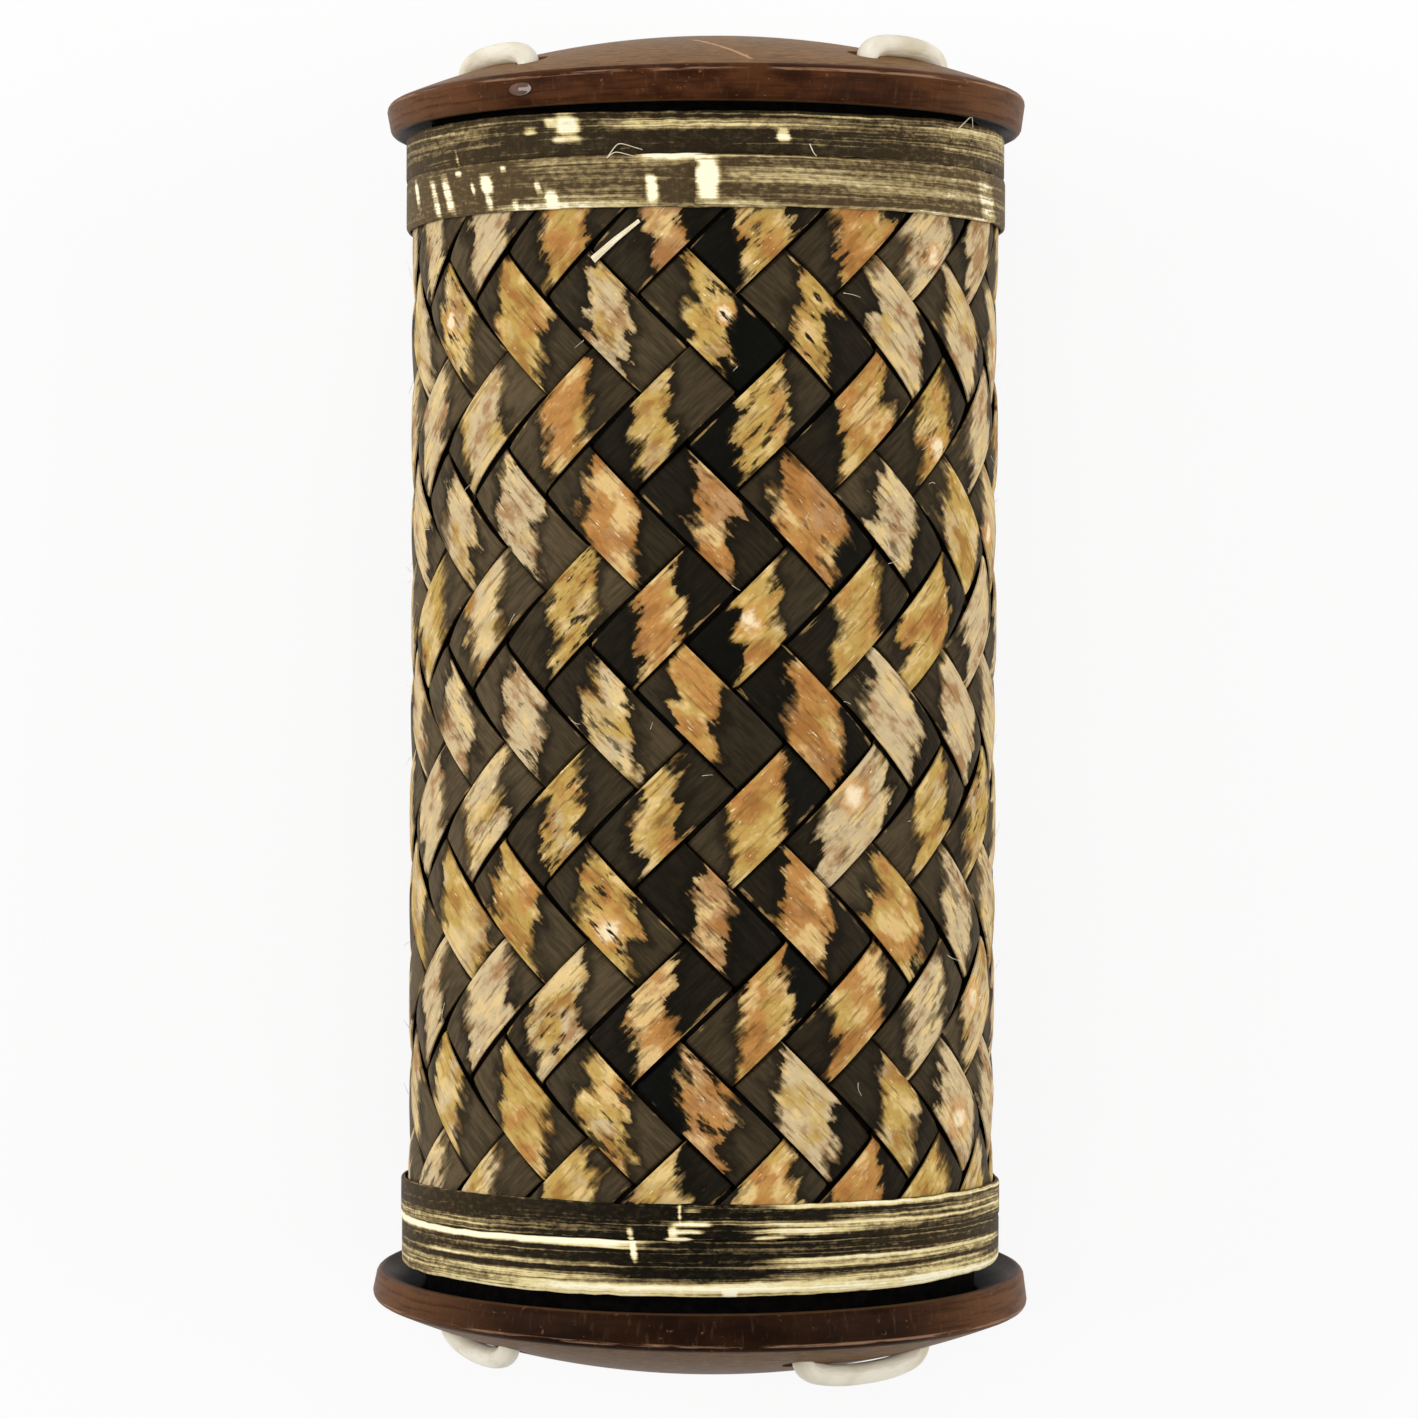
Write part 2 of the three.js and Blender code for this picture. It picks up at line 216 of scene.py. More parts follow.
# %% [markdown]
# ## Light
# Two wide soft boxes stand left and right, about half a metre up. They leave the middle of the tube without
# a reflection, so the dye looks black there, and lay a pale sheen on both flanks. A weak lamp over the
# table and one beyond the top end fill the rest.

# %% Lamps
LAMPS = {  # place and size in metres, and watts
    "left_box": ((-0.62, 0.10, 0.46), 0.45, 3.6),
    "right_box": ((0.62, 0.02, 0.46), 0.45, 2.9),
    "over_table": ((0.0, 0.10, 0.95), 0.6, 1.1),
    "beyond_top": ((0.05, 0.65, 0.40), 0.35, 0.9),
}

for name, (place, size, watts) in LAMPS.items():
    lamp = bpy.data.lights.new(name, "AREA")
    lamp.size = size
    lamp.energy = watts
    stand = bpy.data.objects.new(name, lamp)
    stand.location = place
    aim = Vector(tube_middle) - Vector(place)
    stand.rotation_euler = aim.to_track_quat("-Z", "Y").to_euler()
    scene.collection.objects.link(stand)
print("lamps:", list(LAMPS))

# %% [markdown]
# The world is grey for light and white for the camera, and the floor is a pale sheet. A camera ray that
# meets the floor sees it partly as plain white, and the more so the farther it is from the shaker. So the
# background stays white, and the floor still takes a shadow.

# %% World and floor
WORLD_LIGHT = 0.42
FLOOR_GREY = 0.82
FLOOR_ROUGH = 0.9
FLOOR_WHITE = 0.85  # share of the floor near the shaker that the camera sees as plain white
FLOOR_NEAR = 0.2  # metres, after which that share grows
FLOOR_FAR = 0.7
FLOOR_REACH = 2.0  # metres

world = bpy.data.worlds.new("studio")
scene.world = world
sky = Wiring(world)
sky_level = sky.add("ShaderNodeMapRange", {"Value": sky.seen(), "To Min": WORLD_LIGHT})
background = sky.tree.nodes["Background"]
sky.feed(background.inputs["Strength"], sky_level.outputs["Result"])
sky.feed(background.inputs["Color"], (1, 1, 1, 1))

sheet = Finish("pale_floor")
sheet.feed(sheet.shader.inputs["Base Color"], (FLOOR_GREY, FLOOR_GREY, FLOOR_GREY, 1))
sheet.feed(sheet.shader.inputs["Roughness"], FLOOR_ROUGH)
spot = sheet.add("ShaderNodeTexCoord", {}).outputs["Object"]
away = sheet.add("ShaderNodeVectorMath", {0: spot}, operation="LENGTH").outputs["Value"]
growth = {"Value": away, "From Min": FLOOR_NEAR, "From Max": FLOOR_FAR, "To Min": FLOOR_WHITE}
level = sheet.add("ShaderNodeMapRange", growth).outputs["Result"]
white = sheet.add("ShaderNodeEmission", {}).outputs["Emission"]
layers = {0: sheet.times(sheet.seen(), level), 1: sheet.shader.outputs["BSDF"], 2: white}
both = sheet.add("ShaderNodeMixShader", layers).outputs["Shader"]
sheet.feed(sheet.tree.nodes["Material Output"].inputs["Surface"], both)

corners = [(x * FLOOR_REACH, y * FLOOR_REACH, 0) for x, y in [(-1, -1), (1, -1), (1, 1), (-1, 1)]]
floor_mesh = bpy.data.meshes.new("floor")
floor_mesh.from_pydata(corners, [], [(0, 1, 2, 3)])
floor_mesh.materials.append(sheet.material)
floor = bpy.data.objects.new("floor", floor_mesh)
scene.collection.objects.link(floor)
print("floor:", 2 * FLOOR_REACH, "m wide")

# %% [markdown]
# ## Tools for meshes
# Strips, bands, cords and seeds are all skins over a row of rings. One helper joins equal rings with quads
# and closes both ends. A second one writes a vector on every point, which the finishes read later: a strip
# knows how far along and across its own fibres each point is, so its grain turns with it.

# %% Mesh helpers
SHARP_ANGLE = math.radians(38)


def around(radius, turn, along):
    """Points in metres. Turn zero faces the camera, and along is in mm from the tube's middle."""
    x, y, z = np.broadcast_arrays(radius * np.sin(turn), along, radius * np.cos(turn))
    return np.stack([x, y, z], axis=-1) * MM + tube_middle


def add_piece(name, points, faces, finish):
    """A smooth mesh object with its faces turned outwards."""
    mesh = bpy.data.meshes.new(name)
    mesh.from_pydata(np.asarray(points).reshape(-1, 3).tolist(), [], faces)
    work = bmesh.new()
    work.from_mesh(mesh)
    bmesh.ops.recalc_face_normals(work, faces=work.faces)
    work.to_mesh(mesh)
    work.free()
    mesh.shade_smooth()
    mesh.set_sharp_from_angle(angle=SHARP_ANGLE)
    mesh.materials.append(finish)
    piece = bpy.data.objects.new(name, mesh)
    scene.collection.objects.link(piece)
    return piece


def full_turn(count):
    """Equal angles round a full circle."""
    return np.linspace(0, 2 * math.pi, count, endpoint=False)


def ring_faces(rings, sides, first=0):
    """The quads between neighbouring rings, and a face over each end."""
    spot = (first + np.arange(rings * sides)).reshape(rings, sides)
    beside = np.roll(spot, -1, axis=1)
    quads = np.stack([spot[:-1], beside[:-1], beside[1:], spot[1:]], axis=-1).reshape(-1, 4)
    return quads.tolist() + [spot[0, ::-1].tolist(), spot[-1].tolist()]


def skin(name, rings, finish):
    """One closed mesh over a row of equal rings."""
    return add_piece(name, rings, ring_faces(*rings.shape[:2]), finish)


def note(piece, name, *values):
    """Three numbers on every point of a piece, for its finish to read."""
    made = np.stack(np.broadcast_arrays(*values), axis=-1).astype(np.float32)
    piece.data.attributes.new(name, "FLOAT_VECTOR", "POINT").data.foreach_set("vector", made.ravel())


def dress(piece, slot, *nodes, body="shaker"):
    """The piece takes the place of its nodes and moves with a body."""
    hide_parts(*nodes)
    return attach(piece, body)


print("helpers ready; tube middle at", np.round(tube_middle / MM, 2), "mm")

# %% [markdown]
# ## The finish of the woven strips
# The weaver dyed the cane black and then scraped the skin off the middle of every float, where a strip lies
# over two others. So each float is a dark tile with one pale patch. The patch is torn along the fibres at
# both ends, and keeps some dark flecks and stains. A painted texture could show that, but a mask from the
# distance to the patch's end, frayed by noise drawn out along the fibres, stays sharp at any size. Where a
# float's end is tucked under the next strip, a dark seam closes it: unscraped dye, and a painted shadow. On
# the flanks the dye is greyer and the patches paler, which is painted sheen from the side lamps.

# %% Dyed cane
def dyed_cane():
    cane = Finish("dyed_cane", specular=0.03)
    along, side, apart = cane.read("fibre")
    run, reach, hue_and_sheen = cane.read("patch")
    dark, fleck, aside = cane.read("tile")
    knot_along, knot_side, knot_size = cane.read("knot")
    tuck, shadow_seam_start, shadow_seam_fade = cane.read("tuck")
    elsewhere = cane.total(apart, 40.0)
    here, there = (along, side, apart), (along, side, elsewhere)
    step = cane.noise(here, (0.1, 0.6, 1), detail=1.0)
    blot = cane.noise(here, (0.4, 0.5, 1))
    bite = cane.noise(here, (0.9, 1.2, 1), detail=3.0, rough=0.6)
    thread = cane.noise(here, (0.28, 2.4, 1), detail=3.0, rough=0.6)
    hair = cane.noise(here, (0.6, 8.0, 1))
    speck = cane.noise(here, (1.6, 3.0, 1), detail=4.0, rough=0.7)
    cloud = cane.noise(there, (0.25, 0.4, 1), detail=3.0, rough=0.6)
    soft = cane.noise(there, (0.12, 0.2, 1))
    drift = cane.noise(there, (0.3, 0.3, 1))
    scorch = cane.noise(there, (0.36, 1.3, 1), detail=3.0, rough=0.6)

    tears = [(step, 5.5), (blot, 4.5), (bite, 2.6), (thread, 3.0), (speck, 1.4)]
    inside = cane.total(reach, cane.times(cane.math("ABSOLUTE", run), -1.15))
    frayed = cane.total(inside, *(cane.swing(noise, size) for noise, size in tears))
    blur = cane.times(cane.scale(cane.fade(soft, 0.42, 0.62), 0.2, 1.0), cane.scale(aside, 0.9, 2.6))
    bare = cane.fade(cane.math("DIVIDE", frayed, blur), -1.0, 1.0)
    stain = cane.times(cane.fade(scorch, 0.55, 0.66), cane.fade(fleck, 0.5, 0.95))
    pale = cane.times(bare, cane.math("SUBTRACT", 1.0, stain))

    shade = cane.total(hue_and_sheen, cane.swing(drift, 0.9))
    from_knot = cane.length(knot_along, knot_side)
    knot = cane.math("DIVIDE", cane.total(from_knot, cane.swing(bite, 2.4)), knot_size)
    scraped = cane.coats(
        tone(180, 137, 92),
        (tone(181, 129, 70), shade, 0.1, 0.26, 1),
        (tone(186, 154, 82), shade, 0.36, 0.54, 1),
        (tone(200, 178, 138), shade, 0.6, 0.82, 1),
        (tone(226, 196, 134), cloud, 0.5, 0.64, 0.75),
        (tone(148, 96, 46), cloud, 0.48, 0.34, 0.7),
        (tone(122, 86, 44), thread, 0.48, 0.32, 0.65),
        (tone(84, 58, 30), speck, 0.57, 0.7, cane.scale(fleck, 0.1, 0.5)),
        # painted glints: small white flecks that stand for highlights on the fibres
        (tone(246, 232, 192), hair, 0.62, 0.7, cane.fade(bite, 0.54, 0.64)),
        (tone(104, 76, 36), frayed, 1.2, 0.0, 0.6),
        # a pale knot: an orange ring round a white painted glare
        (tone(200, 138, 66), knot, 2.2, 1.2, 0.5),
        (tone(248, 230, 192), knot, 1.3, 0.3, 0.8),
    )

    away = cane.scale(cane.fade(frayed, -0.2, -2.8), 0.2, 1.0)
    # how grey the black dye is: the drawn grey and the painted sheen on the flanks, less near the patch
    grey_and_sheen = cane.times(dark, away, cane.scale(cane.fade(thread, 0.34, 0.66), 0.66, 1.22))
    some = cane.scale(grey_and_sheen, 0.01, 0.34)
    dull = cane.coats(
        cane.mix(grey_and_sheen, tone(4, 5, 3), tone(90, 76, 54)),
        (tone(66, 50, 28), frayed, -1.2, -0.1, 0.2),
        (tone(66, 56, 40), bite, 0.48, 0.66, some),
        (tone(96, 82, 60), hair, 0.48, 0.72, some),
    )

    rim = cane.total(cane.math("ABSOLUTE", side), cane.swing(thread, 1.5))
    in_places = cane.fade(cane.noise((along, apart, elsewhere), (0.3, 1, 1)), 0.54, 0.64)
    colour = cane.coats(
        cane.mix(pale, dull, scraped),
        (tone(176, 142, 88), rim, 2.92, 3.02, cane.times(in_places, 0.6)),
        # dark seam where a float is tucked under the next strip: unscraped dye, deepened into a painted
        # shadow
        (tone(2, 2, 2), tuck, shadow_seam_start, cane.total(shadow_seam_start, shadow_seam_fade), 0.85),
    )
    grain = [(hair, 0.2), (thread, 0.4), (speck, 0.3), (bare, -0.3)]
    height = cane.total(*(cane.times(noise, size) for noise, size in grain))
    return cane.finish(colour, cane.scale(pale, 0.5, 0.62), height, 0.2)


cane_finish = dyed_cane()

# %% [markdown]
# ## The woven strips
# Nineteen strips climb to the right and nineteen to the left, each over two and under two. Weaving could be
# simulated, but the real strips are stiff, and the rule is plain: along a strip, counted in crossings, it
# floats for two and dips for two. So each strip is a skin over rings placed by that rule. The float bulges
# a little, its end is tucked under the next strip, and its edges wander as split cane does.

# %% Weave rule
STRIPS_EACH_WAY = 19
ROW_HEIGHT = 9.34  # mm along the tube, from one row of floats to the next
WEAVE_TURN = math.radians(6.3)
WEAVE_SHIFT = 6.1  # mm
WEAVE_END = 54.6  # mm from the middle, under the bands
CYCLE = 4  # crossings from one float of a strip to its next one
FIRST_FLOAT = {1: 0.5, -1: 2.5}  # crossings to the middle of a float, by the strip's lean
HALF_STRIP = 0.46  # of the distance between strips
STRIP_THICK = 0.3  # mm
FLOAT_TOP = 29.25  # mm, outer radii
FLOAT_TUCK = 28.78
DIP_TOP = 28.2
BULGE_POWER = 2.6
DIP_START = 0.955  # crossings from a float's middle
DIP_END = 1.05
LEAST_STEP = 0.03  # crossings between a strip's end and its next ring

PITCH_TURN = 2 * math.pi / STRIPS_EACH_WAY
PITCH_RISE = ROW_HEIGHT / 2
PITCH_ROUND = FLOAT_TOP * PITCH_TURN / 2
CROSSING = math.hypot(PITCH_RISE, PITCH_ROUND)  # mm along a strip for each strip that it crosses
FLOAT_STEPS = np.array([-2.0, -1.6, -1.2, -1.045, -0.965, -0.85, -0.65, -0.4, -0.15])
CYCLE_STEPS = np.concatenate([FLOAT_STEPS, -FLOAT_STEPS[:0:-1]])
print("crossing in mm:", round(CROSSING, 2), "rings in a cycle:", len(CYCLE_STEPS))

# %% Float looks
DRAW_SEED = 11
STRIP_DRIFT = (0.008, 12)  # how far a strip's edge wanders, of the distance between strips, and its bends
FLOAT_LIFT = 0.035  # mm, spread of the floats' heights
FLOAT_TILT = 0.07  # mm, spread of their tilt across
PATCH_SLANT = 0.85  # how far the patch's ends follow the tube instead of the strip
PATCH_SHIFT = 0.7  # mm, spread of the patches along their floats
PATCH_REACH = (2.55, 0.6)  # mm from a patch's middle to its end, mean and spread
REACH_LEFT = 1.7  # mm more at the left side of the tube
REACH_RIGHT = 2.4
HUE_DRAWN = 0.6  # from tan at 0 to pale straw at 1
SHEEN_HUE_FLANK = 0.66  # painted sheen: what it gains towards pale straw at the sides
DARK_DRAWN = 0.4  # share of grey drawn at random for each end of a float
# painted sheen: grey that the dye gains on the left flank, and on the right one below
SHEEN_GREY_LEFT = 0.9
SHEEN_GREY_RIGHT = 0.5
KNOT_SHARE = 0.09  # of the floats have a pale knot, with a white painted glare at its middle
KNOT_PLACE = 2.0  # mm, farthest from the float's middle
KNOT_SIZE = (0.7, 1.2)  # mm
FAR_AWAY = 60.0  # mm, where a float without a knot keeps it
STRIP_APART = 17.3  # steps through the noise, so that no two strips and no two floats look alike
TILE_APART = 5.1
SHADOW_SEAM_FRONT = 0.99  # crossings from a float's middle, where the dark seam at its end starts: unscraped dye and a painted shadow
SHADOW_SEAM_FLANK = 0.94  # the same at the sides of the tube, where the painted shadow of the seams looks wider
SHADOW_SEAM_FADE = 0.03

draws = np.random.default_rng(DRAW_SEED)
print("a patch reaches", PATCH_REACH[0], "mm at the front,", PATCH_REACH[0] + REACH_RIGHT, "mm at the right")

# %% Strip shape
def smooth(value, start, end):
    share = np.clip((value - start) / (end - start), 0, 1)
    return share * share * (3 - 2 * share)


def wander(steps, size, bends):
    """A slow seeded drift for a row of steps."""
    drift = draws.normal(0, size, bends)
    return np.interp(np.linspace(0, 1, steps), np.linspace(0, 1, bends), drift)


def strip_radius(offset):
    """The outer face by the distance from the middle of a float, in crossings."""
    away = np.abs(offset)
    bulge = FLOAT_TOP - (FLOAT_TOP - FLOAT_TUCK) * np.minimum(away, 1) ** BULGE_POWER
    return bulge + (DIP_TOP - bulge) * smooth(away, DIP_START, DIP_END)


print("radius on a float and in a dip, in mm:", [float(strip_radius(offset)) for offset in (0, CYCLE / 2)])

# %% Strip builder
ACROSS_OUT = np.array([0, 0.04, 0.15, 0.38, 0.62, 0.85, 0.96, 1])  # shares of the width
EDGE_FALL = np.array([0.15, 0.05, 0.01, 0, 0, 0.01, 0.05, 0.15])  # mm
ACROSS_IN = np.array([1, 0.5, 0])


def strip(number, lean):
    """One strip. Lean is 1 where it climbs to the right, and -1 where it climbs to the left."""
    first_float = FIRST_FLOAT[lean]
    middle, half_run = -WEAVE_SHIFT / PITCH_RISE, WEAVE_END / PITCH_RISE - HALF_STRIP
    low, high = middle - half_run, middle + half_run
    cycles = np.arange(math.floor((low - first_float) / CYCLE), math.ceil((high - first_float) / CYCLE) + 1)
    steps = (first_float + CYCLE * cycles[:, None] + CYCLE_STEPS[None, :]).ravel()
    u = np.concatenate([[low], steps[(steps > low + LEAST_STEP) & (steps < high - LEAST_STEP)], [high]])
    cycle = np.floor((u - first_float + CYCLE / 2) / CYCLE).astype(int)
    offset = (u - first_float) - CYCLE * cycle
    tile = cycle - cycle[0]
    tiles = tile[-1] + 1

    left = -HALF_STRIP + wander(len(u), *STRIP_DRIFT)
    right = HALF_STRIP + wander(len(u), *STRIP_DRIFT)
    lift = draws.normal(0, FLOAT_LIFT, tiles)[tile] * (np.abs(offset) < 1)
    tilt = draws.normal(0, FLOAT_TILT, tiles)[tile] * (np.abs(offset) < 1)
    outer = strip_radius(offset) + lift
    shares = np.concatenate([ACROSS_OUT, ACROSS_IN])
    fall = np.concatenate([EDGE_FALL, np.full(len(ACROSS_IN), STRIP_THICK)])
    side = left[:, None] + (right - left)[:, None] * shares[None, :]
    radius = outer[:, None] + tilt[:, None] * (shares[None, :] - 0.5) - fall[None, :]
    turn = (2 * number + lean * u[:, None] + side) * PITCH_TURN / 2 + WEAVE_TURN
    rise = (u[:, None] - lean * side) * PITCH_RISE + WEAVE_SHIFT

    word = "rising" if lean > 0 else "falling"
    piece = skin(f"woven_{word}_{number + 1:02d}", around(radius, turn, rise), cane_finish)
    whole = np.zeros_like(side)  # spreads a value of each ring over all of its points
    apart = STRIP_APART * (number + 0.5 * lean) + TILE_APART * tile[:, None]
    note(piece, "fibre", u[:, None] * CROSSING, side * CROSSING, apart)
    sideways = np.sin((2 * number + lean * (u - offset)) * PITCH_TURN / 2 + WEAVE_TURN)
    to_left, to_right = np.maximum(-sideways, 0), np.maximum(sideways, 0)
    shift = draws.normal(0, PATCH_SHIFT, tiles)[tile]
    run = (offset[:, None] + PATCH_SLANT * lean * side) * CROSSING - shift[:, None]
    reach = draws.normal(*PATCH_REACH, tiles)[tile] + REACH_LEFT * to_left**0.5 + REACH_RIGHT * to_right**0.5
    # tone of each patch: drawn at random, plus painted sheen that turns it pale straw on the flanks
    hue_and_sheen = HUE_DRAWN * draws.random(tiles)[tile] + SHEEN_HUE_FLANK * np.abs(sideways)
    note(piece, "patch", run, reach[:, None], hue_and_sheen[:, None])
    toned = draws.random((tiles, 2))[tile, (offset > 0).astype(int)]
    # grey of the dark ends of a float: drawn at random, plus painted sheen on the flanks
    dark = DARK_DRAWN * smooth(toned, 0.3, 1.0) + SHEEN_GREY_LEFT * to_left**1.2 + SHEEN_GREY_RIGHT * to_right**2
    fleck = draws.random(tiles)[tile]
    note(piece, "tile", dark[:, None], fleck[:, None], sideways[:, None] ** 2 + whole)
    knot_at = draws.uniform(-KNOT_PLACE, KNOT_PLACE, (tiles, 2))
    knot_at[draws.random(tiles) > KNOT_SHARE] = FAR_AWAY
    knot_size = draws.uniform(*KNOT_SIZE, tiles)[tile]
    straight_run = offset[:, None] * CROSSING
    from_knot = (straight_run - knot_at[tile, 0][:, None], side * CROSSING - knot_at[tile, 1][:, None])
    note(piece, "knot", *from_knot, knot_size[:, None])
    shadow_seam_start = SHADOW_SEAM_FRONT - (SHADOW_SEAM_FRONT - SHADOW_SEAM_FLANK) * sideways**4
    note(piece, "tuck", np.abs(offset)[:, None], shadow_seam_start[:, None], SHADOW_SEAM_FADE + whole)
    return dress(piece, "woven_strip", f"{word}_strip_{number + 1:02d}")


print("points round a strip:", len(ACROSS_OUT) + len(ACROSS_IN))

# %% Weave
strips = [strip(number, lean) for lean in (1, -1) for number in range(STRIPS_EACH_WAY)]
print("strips:", len(strips), "points in one:", len(strips[0].data.vertices))

# %% [markdown]
# ## The binding bands
# Two bands of split cane go round each end and hide the cut ends of the weave. Each is wound once, and its
# end lies over its own start. They were dyed too, and hands have rubbed them: long pale streaks run round
# them, the edges are bare, and there are single scuffs. The streaks come from noise drawn out along the
# band. The scuffs have their own places, so a list names them, and every point of the band carries its wear
# and a painted sheen, which greys the band at the sides of the tube.

# %% Band finish
def rubbed_band():
    cane = Finish("rubbed_band", specular=0.02)
    along, side, seed = cane.read("fibre")
    # grey is the band's own grey plus the painted sheen that greys it at the sides of the tube
    wear, grey, _ = cane.read("wear")
    here = (along, side, cane.times(seed, 0.37))
    streak = cane.noise(here, (0.03, 2.4, 1), detail=3.0, rough=0.55)
    thread = cane.noise(here, (0.07, 6.5, 1), detail=3.0, rough=0.55)
    grit = cane.noise(here, (1.3, 2.6, 1), detail=4.0, rough=0.65)
    crack = cane.noise(here, (4.0, 0.5, 1))
    patchy = cane.noise(here, (0.06, 0.3, 1))
    rubbed = cane.total(
        cane.times(wear, cane.scale(patchy, 0.3, 1.7)),
        cane.swing(streak, cane.scale(grey, 1.8, 1.2)),
        cane.swing(thread, 1.1),
        cane.swing(grit, cane.scale(grey, 0.6, 2.0)),
    )
    bare = cane.fade(rubbed, 0.42, 0.72)
    # the faded and drab tones grow paler with grey, and so with the painted sheen
    faded = cane.coats(tone(222, 204, 146), (tone(176, 156, 112), grey, 0.1, 0.5, 1))
    drab = cane.coats(
        cane.mix(grey, tone(6, 7, 5), tone(116, 95, 66)),
        (tone(124, 106, 72), grit, 0.46, 0.66, cane.scale(grey, 0.05, 0.7)),
        (tone(132, 114, 80), crack, 0.54, 0.68, cane.times(grey, 0.2)),
        (tone(136, 117, 80), rubbed, 0.14, 0.48, 1),
    )
    colour = cane.coats(cane.mix(bare, drab, faded), (tone(245, 238, 208), rubbed, 0.74, 1.05, 1))
    height = cane.total(cane.times(thread, 0.5), cane.times(streak, 0.3), cane.times(bare, -0.25))
    return cane.finish(colour, cane.scale(bare, 0.5, 0.62), height, 0.14)


band_finish = rubbed_band()

# %% Wear on the bands
ZONE_FADE = 6  # degrees before and after the end of a zone, in which it fades
SCUFF_LEAN = -1.1  # degrees round the tube for each mm along it, at its sides
SCUFF_POWER = 3  # 2 would make an ellipse, and more makes it squarer
SCUFF_IN = 0.6  # half sizes from a scuff's middle, where it starts to fade
SCUFF_OUT = 1.5


def wear_at(turn, side, zones, scuffs):
    """How rubbed each point is. Zones run round the band, and scuffs are single spots."""
    degrees = np.degrees((turn + math.pi) % (2 * math.pi) - math.pi)
    wear = np.zeros(np.broadcast(turn, side).shape)
    for middle, width, amount, start, end in zones:
        inside = smooth(-np.abs(side - middle), -width, -0.5 * width)
        after = smooth(degrees, start - ZONE_FADE, start + ZONE_FADE)
        before = smooth(-degrees, -end - ZONE_FADE, -end + ZONE_FADE)
        wear += amount * inside * after * before
    for at, middle, wide, high, amount in scuffs:
        lean = SCUFF_LEAN * abs(math.sin(math.radians(at)))
        across = np.abs((degrees - at - lean * (side - middle)) / wide)
        away = (across**SCUFF_POWER + np.abs((side - middle) / high) ** SCUFF_POWER) ** (1 / SCUFF_POWER)
        wear = np.maximum(wear, amount * smooth(-away, -SCUFF_OUT, -SCUFF_IN))
    return wear


print("a scuff fades from", SCUFF_IN, "to", SCUFF_OUT, "of its half size")

# %% Band builder
BAND_INSIDE = 29.42  # mm, radius
BAND_THICK = 0.38  # mm
BAND_EASE = 0.13  # mm that each edge is pressed out towards its neighbour
BAND_LAP = math.radians(16)
BAND_RAMP = math.radians(14)
BAND_STEP = math.radians(0.45)
LAP_GAP = 0.04  # mm between a band's start and the end that lies over it
EDGE_DRIFT = (0.06, 26)  # mm that an edge wanders, and its bends
EDGE_FRAY = (0.03, 150)
BAND_SWELL = (0.05, 30)  # mm that its radius wanders, and the bends
EDGE_DROP = 0.14  # mm that the outer face falls at its edges
EDGE_SHARE = 0.08  # of the width, in which it falls
FLANK_SHEEN = 0.22  # painted sheen: grey that a band gains at the sides of the tube
BAND_OUT = np.array([0, 0.03, 0.08, 0.16, 0.25, 0.35, 0.45, 0.55, 0.65, 0.75, 0.84, 0.92, 0.97, 1])
BAND_IN = np.array([1, 0.5, 0])


def band(name, node, lap_end, grey, low_climb, high_climb, zones, scuffs):
    """A band in the place of its node. Its outer end is at lap_end degrees from the front, and each edge
    climbs by some mm at the left and at the right side of the tube."""
    low, high = [(corner[1] - tube_middle[1]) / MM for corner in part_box(node)]
    start = math.radians(lap_end) + BAND_LAP
    total = 2 * math.pi + BAND_LAP
    wound = np.linspace(0, total, int(total / BAND_STEP))
    steps = len(wound)
    turn = start - wound
    to_left, to_right = np.maximum(-np.sin(turn), 0) ** 2, np.maximum(np.sin(turn), 0) ** 2

    def edge(place, climb):
        level = place + climb[0] * to_left + climb[1] * to_right
        return level + (wander(steps, *EDGE_DRIFT) + wander(steps, *EDGE_FRAY))

    low_edge = edge(low - BAND_EASE, low_climb)
    high_edge = edge(high + BAND_EASE, high_climb)
    lap = (BAND_THICK + LAP_GAP) * smooth(wound, 2 * math.pi - BAND_RAMP, 2 * math.pi)
    swell = wander(steps, *BAND_SWELL)
    shares = np.concatenate([BAND_OUT, BAND_IN])
    from_edge = np.minimum(BAND_OUT, 1 - BAND_OUT)
    fall = EDGE_DROP * np.clip(1 - from_edge / EDGE_SHARE, 0, 1) ** 2
    lift = np.concatenate([BAND_THICK - fall, np.zeros(len(BAND_IN))])
    rise = low_edge[:, None] + (high_edge - low_edge)[:, None] * shares[None, :]
    radius = (BAND_INSIDE + lap + swell)[:, None] + lift[None, :]
    piece = skin(name, around(radius, turn[:, None], rise), band_finish)
    side = (shares - 0.5)[None, :] * (high - low)
    note(piece, "fibre", (wound * BAND_INSIDE)[:, None], side, lap_end)
    sheen = grey + FLANK_SHEEN * np.sin(turn[:, None]) ** 2
    note(piece, "wear", wear_at(turn[:, None], side, zones, scuffs), sheen, 0.0)
    return dress(piece, "binding_strip", node)


print("points round a band:", len(BAND_OUT) + len(BAND_IN))

# %% Bands at the top end
# A zone is: middle and half width in mm from the band's own middle, amount, first and last angle.
# A scuff is: angle, place across the band, half width in degrees, half height in mm, amount.
top_narrow = band(
    "band_top_narrow", "top_band_narrow", 134, 0.1, (0.0, 0.5), (0.35, 0.85),
    zones=[
        (1.0, 1.0, 0.3, -18, 82), (0.3, 1.5, 0.36, -85, -44), (-0.2, 0.3, 0.25, 25, 85),
        (0.3, 1.7, 0.26, 46, 85), (0.5, 1.0, 0.3, 82, 180), (0.4, 1.0, 0.3, -180, -85),
    ],
    scuffs=[
        (-26.0, 0.5, 2.3, 1.2, 0.85), (-29.5, 1.0, 1.3, 0.4, 0.7), (-27.5, -0.5, 1.6, 0.4, 0.75),
        (14.2, -0.3, 1.2, 0.5, 1.0), (-53.8, -1.0, 0.35, 0.9, 0.7), (-34, 0.3, 1.4, 0.4, 0.5),
    ],
)
